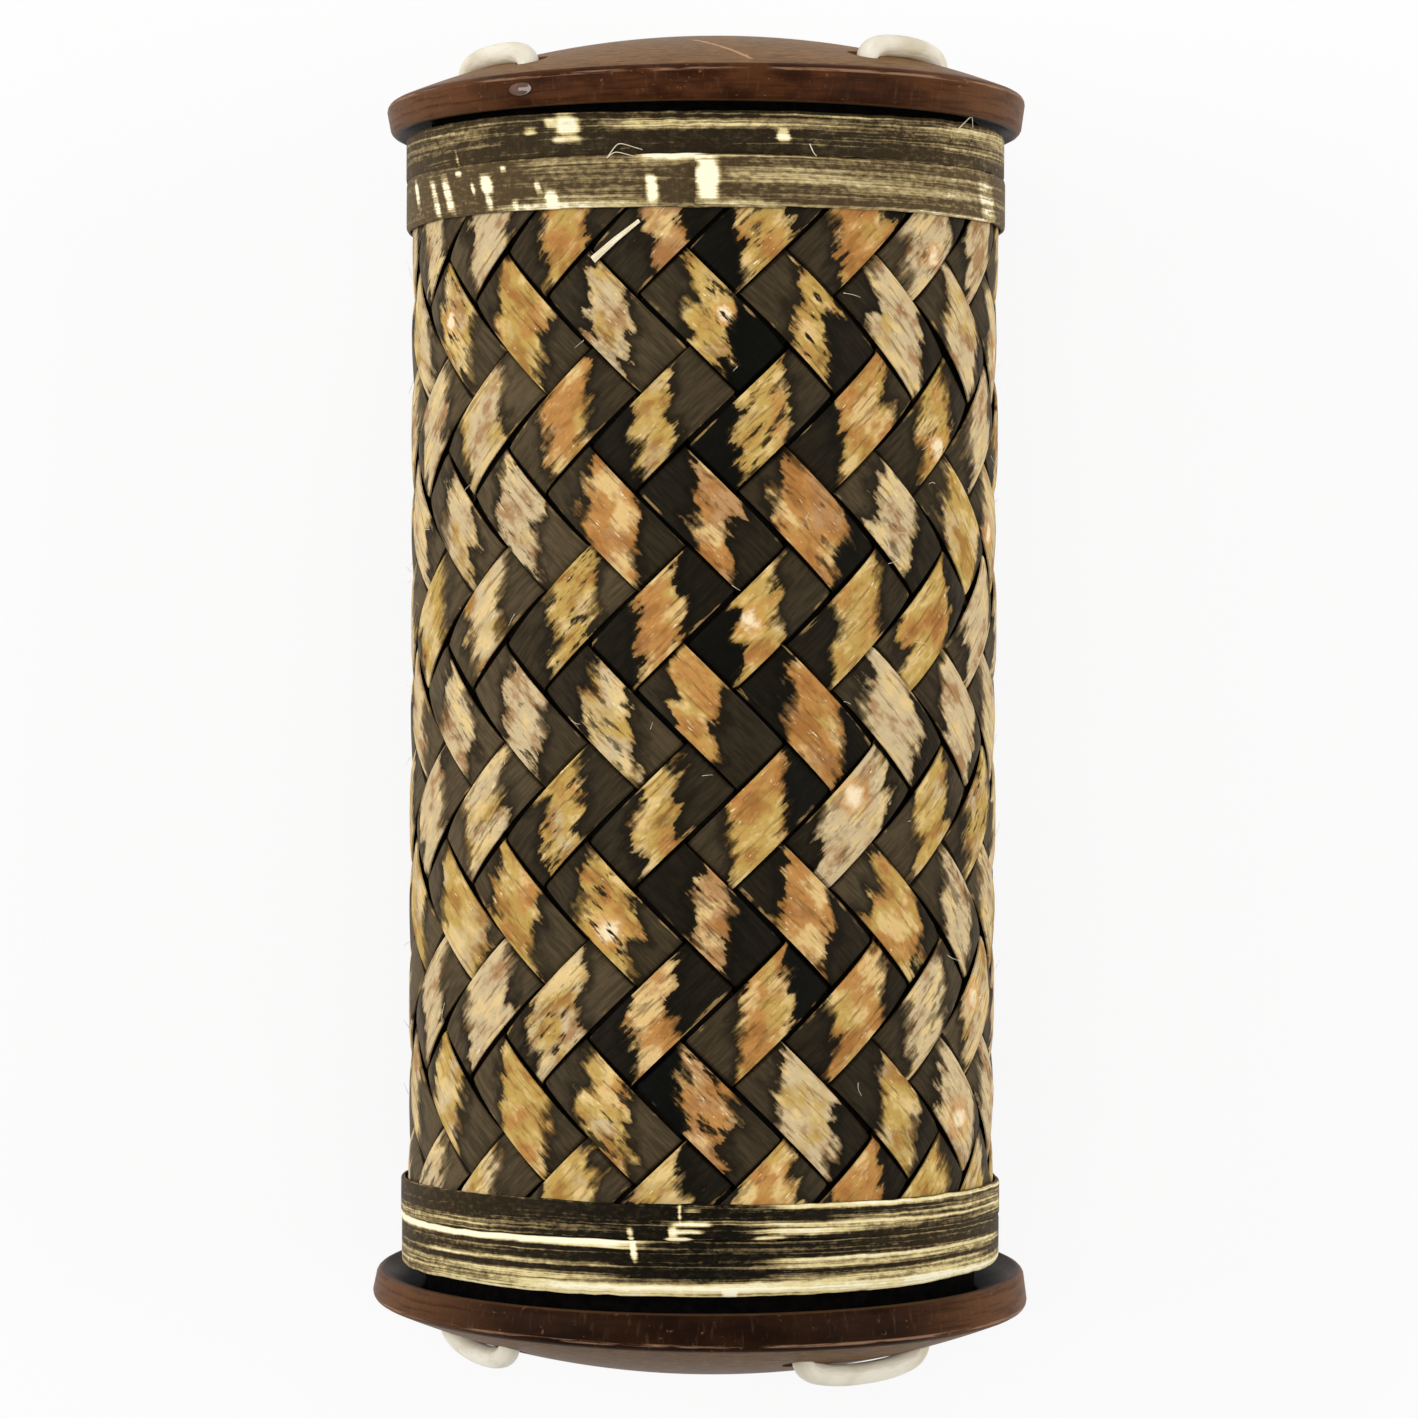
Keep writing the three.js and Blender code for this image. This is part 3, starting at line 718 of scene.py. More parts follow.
top_wide = band(
    "band_top_wide", "top_band_wide", -1.9, 0.33, (0.0, 0.45), (0.0, 0.5),
    zones=[
        (2.1, 0.3, 0.7, -36, 0), (2.15, 0.2, 0.5, 0, 75), (-2.1, 0.3, 0.8, -42, -10),
        (-2.1, 0.25, 0.9, -3, 12), (-2.15, 0.2, 0.6, 12, 70), (0.2, 1.9, 0.3, 3, 66),
        (-0.4, 0.4, 0.16, 28, 60), (-1.0, 1.1, 0.42, -34, -10), (1.0, 1.1, 0.4, -34, -6),
        (0.0, 1.6, 0.2, 66, 180), (0.0, 1.6, 0.2, -180, -82),
    ],
    scuffs=[
        (-71, 0.4, 1.1, 1.2, 1.2), (-61.5, -0.4, 1.1, 1.7, 1.1), (-56.6, -0.3, 1.3, 1.6, 1.1),
        (-48.5, 0.0, 0.5, 0.6, 1.1), (-44.7, 0.2, 1.5, 0.9, 1.2), (-44.0, -1.2, 0.8, 0.9, 1.1),
        (-40.4, 1.6, 0.7, 0.3, 1.1), (-53.2, 1.6, 0.9, 0.3, 1.1), (-37.2, -1.9, 0.8, 0.4, 1.1),
        (-34.6, -2.0, 1.0, 0.3, 1.1), (-32.2, -0.4, 0.7, 0.6, 1.1), (-29.2, -1.5, 1.4, 1.0, 1.2),
        (-9.7, -0.8, 1.1, 1.3, 1.2), (0.4, 0.1, 1.9, 1.9, 1.3), (67, -0.2, 4.0, 1.9, 0.7),
        (-6.5, 2.15, 6.5, 0.45, 1.3),
    ],
)
print("top bands:", top_narrow.name, top_wide.name)

# %% Bands at the bottom end
bottom_narrow = band(
    "band_bottom_narrow", "bottom_band_narrow", -166, 0.02, (0.0, 0.0), (0.0, 0.0),
    zones=[
        (-1.0, 0.7, 0.36, -85, -16), (-0.1, 0.9, 0.4, 26, 85), (1.4, 0.25, 0.7, 14, 85),
        (-0.6, 0.6, 0.3, 85, 180), (-0.6, 0.6, 0.3, -180, -85), (-0.7, 0.9, 0.7, 11, 27),
        (0.0, 1.7, 0.24, 26, 85),
    ],
    scuffs=[
        (-12.7, -1.2, 0.5, 0.6, 1.2), (-3.7, 0.9, 0.35, 0.6, 1.1), (-1.4, 0.95, 1.7, 0.14, 1.0),
        (-4.9, -0.9, 0.8, 0.5, 1.1), (-2.6, -0.2, 2.0, 0.22, 1.1), (-1.0, -0.1, 2.6, 0.12, 1.0),
        (-2.4, -0.8, 2.6, 0.2, 1.1), (-4.0, -1.35, 2.2, 0.22, 1.2), (13, -1.3, 3.0, 0.2, 0.9),
    ],
)
bottom_wide = band(
    "band_bottom_wide", "bottom_band_wide", 174, 0.02, (0.35, 0.9), (0.0, 0.0),
    zones=[
        (-1.85, 0.95, 0.72, -180, 180), (2.25, 0.34, 1.4, -88, -13), (0.33, 0.22, 0.6, -62, -14),
        (-0.8, 0.25, 0.55, -88, -14), (0.8, 0.2, 0.7, 14, 80), (0.2, 0.3, 0.45, 12, 80),
        (-0.6, 0.3, 0.4, 12, 70),
    ],
    scuffs=[(5.5, -2.2, 1.5, 0.4, 1.3), (-12.1, 1.7, 0.5, 0.9, 1.2)],
)
print("bottom bands:", bottom_narrow.name, bottom_wide.name)

# %% [markdown]
# ## The coconut-shell caps
# Each cap is a disc sawn from a coconut, ground and polished. A slice of the shell keeps the nut's curve
# outside and inside, so the cap is a turned outline: dome, a crisp ridge, the ground rim, and the dish under
# it. The holes for the cords are cut with a Boolean modifier, because they are drilled straight through.

# %% Shell finish
def polished_shell(cap):
    """Shell for one cap. The rim is darker and redder than the dome, and paler at its ends: painted sheen."""
    shell = Finish(cap.name + "_finish", specular=0.014)

    # a tone dimmed by a share; below full colour it is painted shade
    def toned(share, *levels):
        return tone(*(share * level for level in levels))

    x, y, z = shell.place()
    z = shell.math("ADD", z, cap.drop)
    out = shell.length(x, z)
    across_x = shell.math("DIVIDE", x, shell.math("MAXIMUM", out, 1.0))
    across_z = shell.math("DIVIDE", z, shell.math("MAXIMUM", out, 1.0))
    slope = shell.math("ADD", shell.times(x, cap.lean[0] + cap.lopside), shell.times(z, cap.lean[1]))
    height = shell.total(shell.times(y, cap.side), shell.times(slope, -1.0), -cap.rim)
    fall = shell.math("SQRT", shell.math("SUBTRACT", SHELL_RADIUS**2, shell.times(out, out)))
    depth = shell.total(fall, cap.centre, shell.times(height, -1.0))
    on_dome, on_edge = (across_x, out, across_z), (across_x, height, across_z)
    cloud = shell.noise((x, y, z), (0.16, 0.3, 0.16), detail=4.0, rough=0.6)
    line = shell.noise(on_dome, (6, 1.6, 6), detail=4.0, rough=0.65)
    dash = shell.noise(on_dome, (20, 3.4, 20), detail=4.0, rough=0.65)
    layer = shell.noise(on_edge, (5, 2.6, 5), detail=4.0, rough=0.65)
    hatch = shell.noise(on_edge, (70, 0.5, 70))
    pore = shell.noise((x, y, z), (1.4, 1.4, 1.4), detail=3.0, rough=0.7)
    on_rim = shell.fade(out, cap.radius - 0.95, cap.radius - 0.55)
    off_rim = shell.math("SUBTRACT", 1.0, on_rim)

    # painted shade: on the bottom cap the dome is dimmed too, less than the rim
    dome_share = 0.6 + 0.4 * cap.shade
    dome = shell.coats(
        toned(dome_share, 116, 82, 46),
        (toned(dome_share, 132, 96, 55), cloud, 0.3, 0.7, 1),
        (tone(74, 50, 29), line, 0.48, 0.66, 0.5),
        (tone(58, 37, 21), dash, 0.53, 0.66, 0.7),
        (tone(166, 126, 80), dash, 0.45, 0.33, 0.5),
    )
    rim = shell.coats(
        toned(cap.shade, 46, 24, 12),
        (toned(cap.shade, 78, 45, 24), cloud, 0.36, 0.66, 1),
        # painted sheen: the rim is paler towards its ends, where the side lamps glance off it
        (tone(108, 73, 48), shell.math("ABSOLUTE", across_x), 0.5, 1.0, 0.85),
        (tone(32, 17, 10), layer, 0.46, 0.68, 0.5),
    )
    # painted shade: the dish under the rim is near black, a little lighter near its edge
    dish = shell.coats(tone(16, 11, 8), (tone(58, 38, 25), out, cap.radius - 4.0, cap.radius - 1.2, 1))
    from_ridge = shell.math("ABSOLUTE", shell.math("SUBTRACT", height, cap.ridge))
    colour = shell.coats(
        shell.mix(on_rim, dome, rim),
        (tone(128, 92, 66), hatch, 0.56, 0.76, 0.12),
        (tone(150, 100, 76), pore, 0.65, 0.71, 0.4),
        # pale line along the ridge, in places: edge wear and a painted highlight
        (tone(160, 122, 96), from_ridge, 0.22, 0.05, shell.times(on_rim, shell.fade(layer, 0.44, 0.6), 0.7)),
        # painted shade in the dish and the holes, by how deep a point lies under the dome
        (dish, depth, 2.3, 3.0, off_rim),
    )
    for start, end in cap.scratches:
        run = Vector(end) - Vector(start)
        ahead = run.normalized()
        from_x, from_z = shell.math("SUBTRACT", x, start[0]), shell.math("SUBTRACT", z, start[1])
        along = shell.total(shell.times(from_x, ahead.x), shell.times(from_z, ahead.y))
        square = shell.total(shell.times(from_x, -ahead.y), shell.times(from_z, ahead.x))
        aside = shell.total(square, shell.times(pore, 0.7), -0.35)
        within = shell.times(shell.fade(along, 0.0, 2.0), shell.fade(along, run.length, run.length - 1.0))
        mark = shell.times(within, shell.fade(shell.math("ABSOLUTE", aside), 0.3, 0.1))
        colour = shell.mix(shell.times(mark, 0.8), colour, tone(196, 150, 108))
    relief = shell.total(shell.times(line, 0.4), shell.times(hatch, 0.15), shell.times(pore, 0.3))
    return shell.finish(colour, shell.scale(cloud, 0.3, 0.45), relief, 0.1)


# %% Cap outline
TOP_CAP_RADIUS = 31.85  # mm, as are the lengths below
BOTTOM_CAP_RADIUS = 32.6
SHELL_RADIUS = 84
SHELL_THICK = 3.3
INSIDE_RADIUS = SHELL_RADIUS - SHELL_THICK
EDGE_ROUND = 0.8
RIDGE_ROUND = 0.6
RIM_TAPER = 0.3  # the rim is this much narrower at its inner edge
LINER_RADIUS = 27.3
LINER_END = (liner_high[1] - liner_low[1]) / 2 / MM
SEAT_GAP = 0.3
CAP_SEGMENTS = 180
CROWN_RADIUS = 0.4  # of the innermost ring
DOME_RINGS = 34
DISH_RINGS = 26


class Cap:
    """The measures of one cap. Heights are outwards from the plane of its rim. Push is how many mm it sits
    further in, lean and lopside are mm of rise for each mm across, and shade is a share of full colour: it
    paints shade on the bottom cap, which the lamps light less."""

    def __init__(self, name, node, side, radius, push, lean, lopside, shade, scratches=()):
        self.name, self.node, self.side, self.radius = name, node, side, radius
        self.lean, self.lopside, self.shade, self.scratches = lean, lopside, shade, scratches
        self.drop = BOTTOM_CAP_RADIUS - radius  # both rims touch the table
        self.centre = -math.sqrt(INSIDE_RADIUS**2 - (radius - EDGE_ROUND) ** 2)
        self.rim = LINER_END + SEAT_GAP - self.inside(LINER_RADIUS + self.drop) - push
        self.ridge = self.outside(radius) - RIDGE_ROUND / 2

    def inside(self, r):
        return float(self.centre + math.sqrt(INSIDE_RADIUS**2 - r**2))

    def outside(self, r):
        return float(self.centre + math.sqrt(SHELL_RADIUS**2 - r**2))

    def slope(self, x, z, dome=1.0):
        """How much farther out a point stands: the cap is not laced on square, and its dome is lopsided."""
        return (self.lean[0] + self.lopside * dome) * x + self.lean[1] * z

    def surface(self, x, z):
        """Where the outside of the shell is along the tube, over a point across it."""
        return self.side * (self.rim + self.outside(math.hypot(x, z + self.drop)) + self.slope(x, z))

    def outline(self):
        """Radius, height and share of the dome, from the crown round the rim and back under the dish."""
        dome = np.linspace(CROWN_RADIUS, self.radius - RIDGE_ROUND, DOME_RINGS)
        points = [(r, self.outside(r), 1) for r in dome]
        start, corner = np.array(points[-1]), np.array([self.radius, self.outside(self.radius), 1])
        end = corner - np.array([0, RIDGE_ROUND, 0])
        for t in (0.3, 0.5, 0.7, 1.0):
            points.append(tuple((1 - t) ** 2 * start + 2 * t * (1 - t) * corner + t**2 * end))
        low_radius = self.radius - RIM_TAPER
        for angle in np.radians([0, 18, 36, 54, 72, 90]):
            inwards, height = EDGE_ROUND * (1 - math.cos(angle)), EDGE_ROUND * (1 - math.sin(angle))
            points.append((low_radius - inwards, height, 0))
        dish = np.linspace(self.radius - 2 * EDGE_ROUND, CROWN_RADIUS, DISH_RINGS)
        points.extend((r, self.inside(r), 0) for r in dish)
        return np.array(points)


caps = [
    Cap(
        "shell_top", "top_cap", side=1, radius=TOP_CAP_RADIUS, push=0.0, lean=(0.007, -0.002),
        lopside=0.01, shade=1.0, scratches=[((-1.8, 18.0), (4.5, 29.8))],
    ),
    # the bottom cap's shade of 0.55 is painted shade: the lamps light it less
    Cap(
        "shell_bottom", "bottom_cap", side=-1, radius=BOTTOM_CAP_RADIUS, push=0.75, lean=(-0.002, 0.035),
        lopside=0.012, shade=0.55,
    ),
]
for cap in caps:
    print(cap.name, "rim plane", round(cap.rim, 2), "crown", round(cap.rim + cap.outside(0), 2))

# %% Stitch places
CORD_RADIUS = 1.06  # mm, as are the lengths below
HOLE_RADIUS = 1.6
HOLE_SLACK = 0.45  # a hole is worn this far away from its stitch
BIT_SIDES = 24
BIT_ENDS = (-4, 16)  # mm from the plane of the rim
FOOT_RADIUS = 25.0
LASHINGS = {  # degrees of both holes and mm of clear space under the arch, for the top and the bottom cap
    "left": [((-69, -43), -0.1), ((-86, -47), 0.15)],
    "right": [((38, 65), 0.0), ((23, 59), 0.2)],
    "back": [((161, 199), 0.2), ((161, 199), 0.2)],
}


def stitch_feet(angles):
    """Where the two holes of a stitch are, across the tube."""
    turns = np.radians(angles)
    return np.stack([FOOT_RADIUS * np.sin(turns), FOOT_RADIUS * np.cos(turns)], axis=-1)


print("first hole at", np.round(stitch_feet(LASHINGS["left"][0][0])[0], 2))

# %% Turn and drill the caps
def turned_cap(cap, finish):
    """The outline swept round the tube's axis."""
    outline = cap.outline()
    turns = full_turn(CAP_SEGMENTS)
    radius = outline[:, 0][:, None]
    slope = cap.slope(radius * np.sin(turns), radius * np.cos(turns), outline[:, 2][:, None])
    rings = around(radius, turns[None, :], cap.side * (cap.rim + outline[:, 1][:, None] + slope))
    rings[..., 2] -= cap.drop * MM
    return skin(cap.name, rings, finish)


def drill(piece, cap, which):
    """Cuts the six cord holes."""
    turns = full_turn(BIT_SIDES)
    circle = HOLE_RADIUS * np.stack([np.cos(turns), 0 * turns, np.sin(turns)], axis=-1)
    rings = []
    bits = []
    for stitches in LASHINGS.values():
        first, second = stitch_feet(stitches[which][0])
        slack = HOLE_SLACK * (second - first) / np.linalg.norm(second - first)
        for x, z in (first - slack, second + slack):
            bits.extend(ring_faces(2, len(turns), first=len(rings) * len(turns)))
            for height in BIT_ENDS:
                y = cap.side * (cap.rim + height)
                rings.append((circle + (x, y, z)) * MM + tube_middle)
    cutter = add_piece("drill_bits", np.array(rings), bits, piece.data.materials[0])
    cut = piece.modifiers.new("cord_holes", "BOOLEAN")
    cut.object = cutter
    cut.operation = "DIFFERENCE"
    cut.solver = "EXACT"
    graph = bpy.context.evaluated_depsgraph_get()
    drilled = bpy.data.meshes.new_from_object(piece.evaluated_get(graph))
    piece.modifiers.clear()
    piece.data = drilled
    bpy.data.objects.remove(cutter)
    drilled.shade_smooth()
    drilled.set_sharp_from_angle(angle=SHARP_ANGLE)


for which, cap in enumerate(caps):
    piece = turned_cap(cap, polished_shell(cap))
    drill(piece, cap, which)
    dress(piece, "coconut_shell", cap.node)
    print(piece.name, "faces:", len(piece.data.polygons))

# %% [markdown]
# A drop of varnish has run over the top cap's rim and set there, the one wet-looking spot on the shaker. A
# bump map would not catch the light like it, so it is a low lens of its own, with its edge sunk in the rim.

# %% Varnish drop
DROP_TURN = math.radians(-34.4)
DROP_HEIGHT = 1.85  # mm above the plane of the rim
DROP_HALF = (1.3, 0.6)  # mm round the rim and along the tube
DROP_SHARES = np.array([0.6, 1, 0.94, 0.84, 0.72, 0.58, 0.44, 0.3, 0.16, 0.05])  # from its back over the edge
DROP_SWELL = 0.12  # mm out from the rim
DROP_SUNK = 0.04  # mm that its edge lies under the rim's face
DROP_BACK = 0.16  # and its back
DROP_SIDES = 32


def set_varnish():
    varnish = Finish("set_varnish", specular=0.5)
    x, y, z = varnish.place()
    cloud = varnish.noise((x, y, z), (0.6, 0.6, 0.6))
    colour = varnish.coats(tone(72, 43, 25), (tone(92, 57, 36), cloud, 0.4, 0.6, 1))
    return varnish.finish(colour, varnish.scale(cloud, 0.08, 0.14), cloud, 0.02)


def lens(name, turn, along, radius, finish):
    """A low lens that lies on the outside of a round rim."""
    share = DROP_SHARES[:, None]
    turns = full_turn(DROP_SIDES)[None, :]
    out = (DROP_SWELL + DROP_SUNK) * (1 - share**2) ** 1.5 - DROP_SUNK
    out[0] = -DROP_BACK
    lens_turn = turn + DROP_HALF[0] * share * np.cos(turns) / radius
    lens_along = along + DROP_HALF[1] * share * np.sin(turns)
    return skin(name, around(radius + out, lens_turn, lens_along), finish)


top = caps[0]
drop_slope = top.slope(top.radius * math.sin(DROP_TURN), top.radius * math.cos(DROP_TURN))
drop_along = top.rim + DROP_HEIGHT + drop_slope
drop = lens("varnish_drop", DROP_TURN, drop_along, top.radius - top.drop * math.cos(DROP_TURN), set_varnish())
dress(drop, "coconut_shell")
print("drop sits", round(drop_along, 2), "mm along the tube")

# %% [markdown]
# ## The cord lashings
# A smooth white cord comes out of one hole, arches over the shell and goes into the next one, on both caps.
# Inside, it is tied round itself. A curve with a bevel would do, but a skin over rings keeps the cord's
# section round and lets a finish follow its length.

# %% Cord finish
def white_cord():
    cord = Finish("white_cord")
    along, round_it, seed = cord.read("fibre")
    soil = cord.noise((along, round_it, seed), (0.2, 0.5, 1))
    ply = cord.noise((along, round_it, seed), (0.5, 5.0, 1))
    colour = cord.coats(
        tone(228, 221, 202),
        (tone(204, 193, 166), soil, 0.4, 0.7, 1),
        (tone(182, 168, 136), ply, 0.5, 0.75, 0.25),
    )
    return cord.finish(colour, cord.scale(soil, 0.3, 0.42), cord.total(ply, cord.times(soil, 0.6)), 0.06)


cord_finish = white_cord()

# %% Cord path
CORD_SIDES = 18
CORD_STEP = 0.4  # mm
EASE_ROUNDS = 6
TIE_TURNS = 2.5
TIE_RADIUS = 2.9  # mm
TIE_DOWN = 14  # mm from the liner's upper end
TIE_MIDDLE = LINER_END - TIE_DOWN
TIE_HALF = TIE_TURNS * TIE_RADIUS / 2
TAIL = 3.0  # mm
TIE_POINTS = 31
STITCH_POINTS = 33
STITCH_DEPTH = 2.4  # mm under the shell
ARCH_POWER = 2.6


def stitch(cap, angles, rise):
    """From inside the shell out of one hole, over it in an arch, and into the other."""
    first, second = stitch_feet(angles)
    made = []
    for share in np.linspace(-1, 1, STITCH_POINTS):
        x, z = (first + second) / 2 + (second - first) / 2 * share
        arch = (rise + CORD_RADIUS) * (1 - abs(share) ** ARCH_POWER) ** 0.5
        made.append((x, cap.surface(x, z) + cap.side * arch, z))
    under = cap.side * (cap.rim + cap.inside(FOOT_RADIUS + cap.drop) - STITCH_DEPTH)
    inside = [(x, under, z) for x, z in (first, second)]
    return np.array([inside[0], *made, inside[1]])


def even_path(points, step):
    """A path with a point every step, its corners eased by a few rounds of averaging."""
    length = np.concatenate([[0], np.cumsum(np.linalg.norm(np.diff(points, axis=0), axis=1))])
    even = np.linspace(0, length[-1], int(length[-1] / step))
    path = np.stack([np.interp(even, length, points[:, axis]) for axis in range(3)], axis=-1)
    for _ in range(EASE_ROUNDS):
        path[1:-1] = (path[:-2] + 2 * path[1:-1] + path[2:]) / 4
    return path, even


def lashing_path(top_stitch, bottom_stitch):
    """The cord starts at its tail, makes both stitches, and winds round its own start."""
    top, bottom = stitch(caps[0], *top_stitch), stitch(caps[1], *bottom_stitch)[::-1]
    start, end = top[0], bottom[-1]

    def run(y):
        share = (y - end[1]) / (start[1] - end[1])
        return (end + (start - end) * share) * np.array([1, 0, 1]) + np.array([0, y, 0])

    out = run(TIE_MIDDLE) * np.array([1, 0, 1])
    out /= np.linalg.norm(out)
    aside = np.cross(out, (0, 1, 0))

    def core(y):
        return run(y) - out * TIE_RADIUS

    tail = [core(y) for y in (TIE_MIDDLE - TIE_HALF - TAIL, TIE_MIDDLE, TIE_MIDDLE + TIE_HALF)]
    winding = [run(TIE_MIDDLE - TIE_HALF - 2 * CORD_RADIUS)]
    for share in np.linspace(0, 1, TIE_POINTS):
        angle = 2 * math.pi * TIE_TURNS * share
        middle = core(TIE_MIDDLE - TIE_HALF + 2 * TIE_HALF * share)
        winding.append(middle + TIE_RADIUS * (out * math.cos(angle) + aside * math.sin(angle)))
    return np.array([*tail, *top, *bottom, *winding])


print("a tie is", 2 * TIE_HALF, "mm long")

# %% Cord skins
FIRST_ARM = np.array([0.3, 0.2, 1.0])  # any direction that no cord starts in
CORD_APART = 3.7  # steps through the noise


def cord_rings(path, arm, half_arm, half_other, sides):
    """Oval sections along a path, carried on without twist. The first half axis starts towards arm."""
    tangent = np.gradient(path, axis=0)
    tangent /= np.linalg.norm(tangent, axis=1)[:, None]
    turns = full_turn(sides)
    rings = []
    for point, ahead, first, second in zip(path, tangent, *np.broadcast_arrays(half_arm, half_other)):
        arm = arm - ahead * np.dot(arm, ahead)
        arm /= np.linalg.norm(arm)
        other = np.cross(ahead, arm)
        rings.append(point + first * np.cos(turns)[:, None] * arm + second * np.sin(turns)[:, None] * other)
    return np.array(rings), turns


for number, (side_name, stitches) in enumerate(LASHINGS.items()):
    path, along = even_path(lashing_path(*stitches), CORD_STEP)
    round_section = np.full(len(path), CORD_RADIUS)
    rings, turns = cord_rings(path, FIRST_ARM, round_section, round_section, CORD_SIDES)
    piece = skin(f"cord_{side_name}", rings * MM + tube_middle, cord_finish)
    note(piece, "fibre", along[:, None], np.cos(turns)[None, :], CORD_APART * number)
    dress(piece, "white_cord", f"lashing_{side_name}")
    print(piece.name, "is", round(float(along[-1])), "mm long")

# %% [markdown]
# ## Loose fibres
# Split cane frays. One white splinter stands off the first row of the weave, a few long hairs stick out at
# the bands, and short ones stand all over the weave. A hair system would do for the short ones, but it is
# not a mesh. So each fibre is a thin tapered skin along a few places: degrees from the front, mm along the
# tube, and mm above its surface.

# %% Long fibres
FIBRE_STEP = 0.2  # mm
FIBRE_SIDES = 8
FIBRE_END = 0.5  # share of its width that a fibre ends with
FIBRE_APART = 2.9  # steps through the noise
LONG_FIBRES = {  # half width, half thickness, places
    "splinter": (0.36, 0.12, [(-21.2, 42.2, 0.05), (-16.8, 44.0, 0.2), (-12.2, 45.8, 0.1)]),
    "hair_a": (0.06, 0.06, [(-18.4, 51.7, 0.3), (-15.8, 53.1, 1.0), (-11.5, 52.4, 0.6)]),
    "hair_b": (0.06, 0.06, [(-18.6, 51.6, 0.4), (-16.5, 52.3, 0.9), (-13.0, 51.8, 0.5)]),
    "hair_c": (0.06, 0.06, [(19.0, 53.1, 0.9), (19.6, 52.4, 0.8), (21.2, 51.8, 0.3)]),
    "hair_d": (0.06, 0.06, [(54.6, 55.9, 0.6), (57.4, 57.4, 1.3), (59.4, 56.3, 0.8)]),
}


def bare_fibre():
    fibre = Finish("bare_fibre", specular=0.1)
    along, round_it, seed = fibre.read("fibre")
    grain = fibre.noise((along, round_it, seed), (0.5, 3.0, 1), detail=3.0, rough=0.6)
    colour = fibre.coats(tone(214, 198, 156), (tone(242, 234, 212), grain, 0.35, 0.65, 1))
    return fibre.finish(colour, fibre.scale(grain, 0.5, 0.65), grain, 0.06)


def fibre_rings(places, wide, thick, sides):
    """Rings in metres along a fibre that gets thinner towards its end, and the length up to each."""
    turn, along, lift = np.array(places).T
    corners = (around(FLOAT_TOP + lift, np.radians(turn), along) - tube_middle) / MM
    path, run = even_path(corners, FIBRE_STEP)
    taper = np.linspace(1, FIBRE_END, len(path))
    rings, _ = cord_rings(path, path[0] * np.array([1, 0, 1]), thick * taper, wide * taper, sides)
    return rings * MM + tube_middle, run


fibre_finish = bare_fibre()
for number, (name, (wide, thick, places)) in enumerate(LONG_FIBRES.items()):
    rings, run = fibre_rings(places, wide, thick, FIBRE_SIDES)
    piece = skin(name, rings, fibre_finish)
    round_it = np.arange(FIBRE_SIDES)[None, :] / FIBRE_SIDES
    note(piece, "fibre", run[:, None], round_it, FIBRE_APART * number)
    dress(piece, "woven_strip")
print("long fibres:", len(LONG_FIBRES))

# %% Short hairs
SHORT_HAIRS = 120
HAIR_HALF = 0.028  # mm
HAIR_SIDES = 4
HAIR_ALONG = 44  # mm from the middle of the tube, at most
HAIR_LENGTH = (0.6, 1.8)  # mm
HAIR_BEND = 0.5  # radians, spread
HAIR_LIFT = 0.5  # mm at a hair's end
hair_rings = []
hair_faces = []
for _ in range(SHORT_HAIRS):
    turn, along = draws.uniform(-180, 180), draws.uniform(-HAIR_ALONG, HAIR_ALONG)
    lean, length = draws.uniform(0, 2 * math.pi), draws.uniform(*HAIR_LENGTH)
    bend = draws.normal(0, HAIR_BEND)
    places = []
    for share in (0, 0.5, 1):
        aside, ahead = [length * share * part(lean + bend * share) for part in (math.cos, math.sin)]
        places.append((turn + math.degrees(aside / FLOAT_TOP), along + ahead, HAIR_LIFT * share))
    rings, _ = fibre_rings(places, HAIR_HALF, HAIR_HALF, HAIR_SIDES)
    earlier = HAIR_SIDES * sum(len(made) for made in hair_rings)
    hair_faces.extend(ring_faces(len(rings), HAIR_SIDES, first=earlier))
    hair_rings.append(rings)
hairs = add_piece("short_hairs", np.concatenate(hair_rings), hair_faces, fibre_finish)
note(hairs, "fibre", np.arange(len(hairs.data.vertices)) / HAIR_SIDES, 0.0, 0.0)
dress(hairs, "woven_strip")
print("short hairs:", SHORT_HAIRS, "points:", len(hairs.data.vertices))

# %% [markdown]
# ## The liner
# A stiff tube inside keeps the caps apart. It shows only as darkness between the strips, so its plain shape
# stays, with the finish of near-black pressed board, which is painted shade for the gaps.

# %% Liner
def board_and_shade():
    board = Finish("board_and_shade", specular=0.02)
    x, y, z = board.place()
    pulp = board.noise((x, y, z), (0.8, 0.8, 0.8), detail=4.0, rough=0.65)
    flake = board.noise((x, y, z), (3.0, 1.2, 3.0))
    # near black, so that the gaps between the strips show painted shade
    colour = board.coats(tone(6, 6, 6), (tone(18, 15, 13), pulp, 0.35, 0.7, 1))
    return board.finish(colour, board.scale(flake, 0.8, 0.95), board.total(pulp, flake), 0.1)


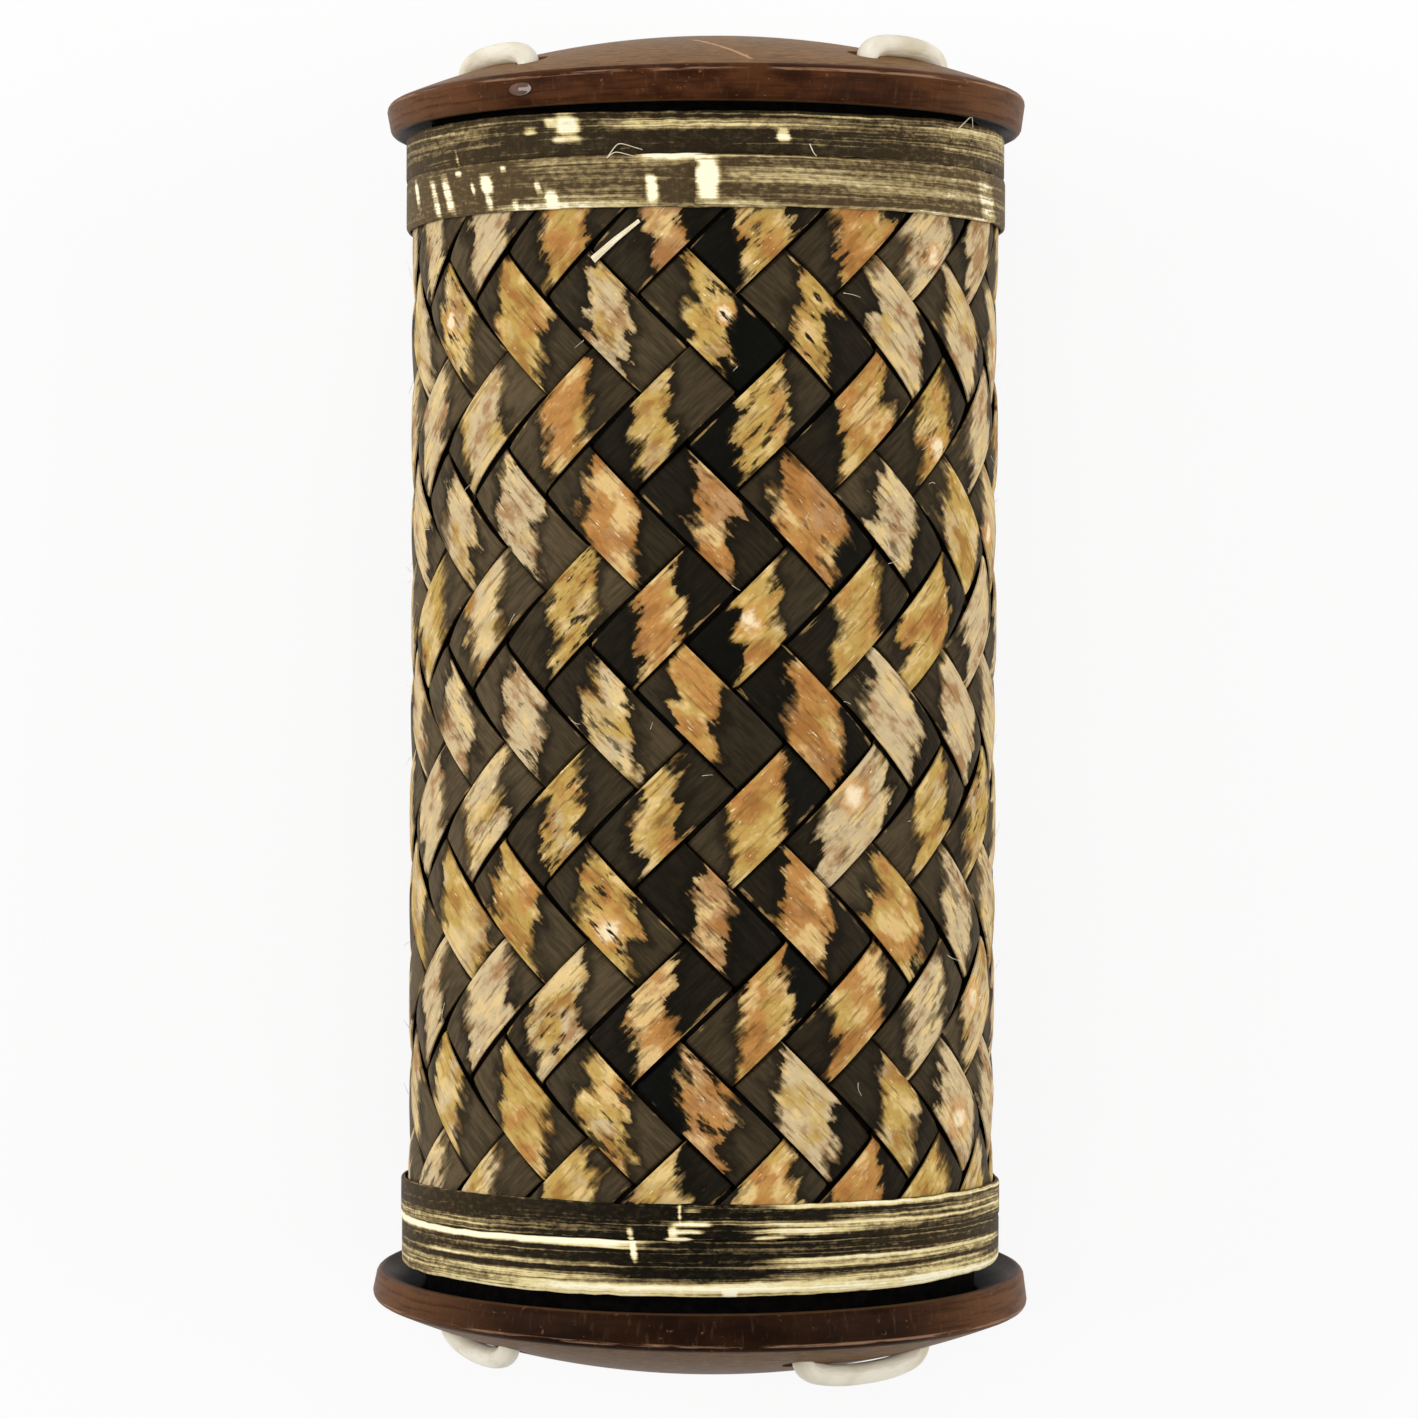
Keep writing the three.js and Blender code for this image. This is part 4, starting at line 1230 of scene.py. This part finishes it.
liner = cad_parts["liner_tube"]
liner.data.materials.clear()
liner.data.materials.append(board_and_shade())
print("liner slots:", len(liner.data.materials))

# %% [markdown]
# ## The seeds
# A dozen dried seeds lie in the tube. Each one is an egg-like grain with a flattened side and a crease, and
# slides along the tube with its own body.

# %% Seeds
SEED_RINGS = 15
SEED_SIDES = 20
SEED_FILL = 0.97  # of the solid seed's size
SEED_CREASE = 0.05  # shares of the girth
SEED_EGG = 0.04
CREASE_POWER = 8
SEED_APART = 2.3  # steps through the noise


def dried_seed():
    seed = Finish("dried_seed")
    along, round_it, number = seed.read("fibre")
    mottle = seed.noise((along, round_it, number), (0.9, 1.6, 1), detail=3.0, rough=0.6)
    wrinkle = seed.noise((along, round_it, number), (0.6, 5.0, 1))
    colour = seed.coats(
        tone(84, 52, 28),
        (tone(146, 104, 62), mottle, 0.35, 0.65, 1),
        (tone(58, 34, 20), wrinkle, 0.55, 0.75, 0.4),
    )
    relief = seed.total(wrinkle, seed.times(mottle, 0.5))
    return seed.finish(colour, seed.scale(mottle, 0.35, 0.55), relief, 0.12)


seed_finish = dried_seed()
seed_nodes = sorted(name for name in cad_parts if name.startswith("seed_"))
for node in seed_nodes:
    low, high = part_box(node)
    middle, half = np.array((low + high) / 2), np.array((high - low) / 2)
    tilt = np.linspace(-1, 1, SEED_RINGS + 2)[1:-1]
    turns = full_turn(SEED_SIDES)
    dents = SEED_CREASE * np.cos(turns) ** CREASE_POWER
    girth = np.sqrt(1 - tilt**2)[:, None] * (1 - dents - SEED_EGG * tilt[:, None])
    lengthwise = np.broadcast_to(half[1] * tilt[:, None], girth.shape)
    rings = np.stack([half[0] * girth * np.cos(turns), lengthwise, half[2] * girth * np.sin(turns)], axis=-1)
    piece = skin("grain_" + node[-2:], rings * SEED_FILL + middle, seed_finish)
    note(piece, "fibre", (tilt * half[1] / MM)[:, None], np.cos(turns)[None, :], int(node[-2:]) * SEED_APART)
    dress(piece, "dried_seed", node, body=node)
print("seeds:", len(seed_nodes))
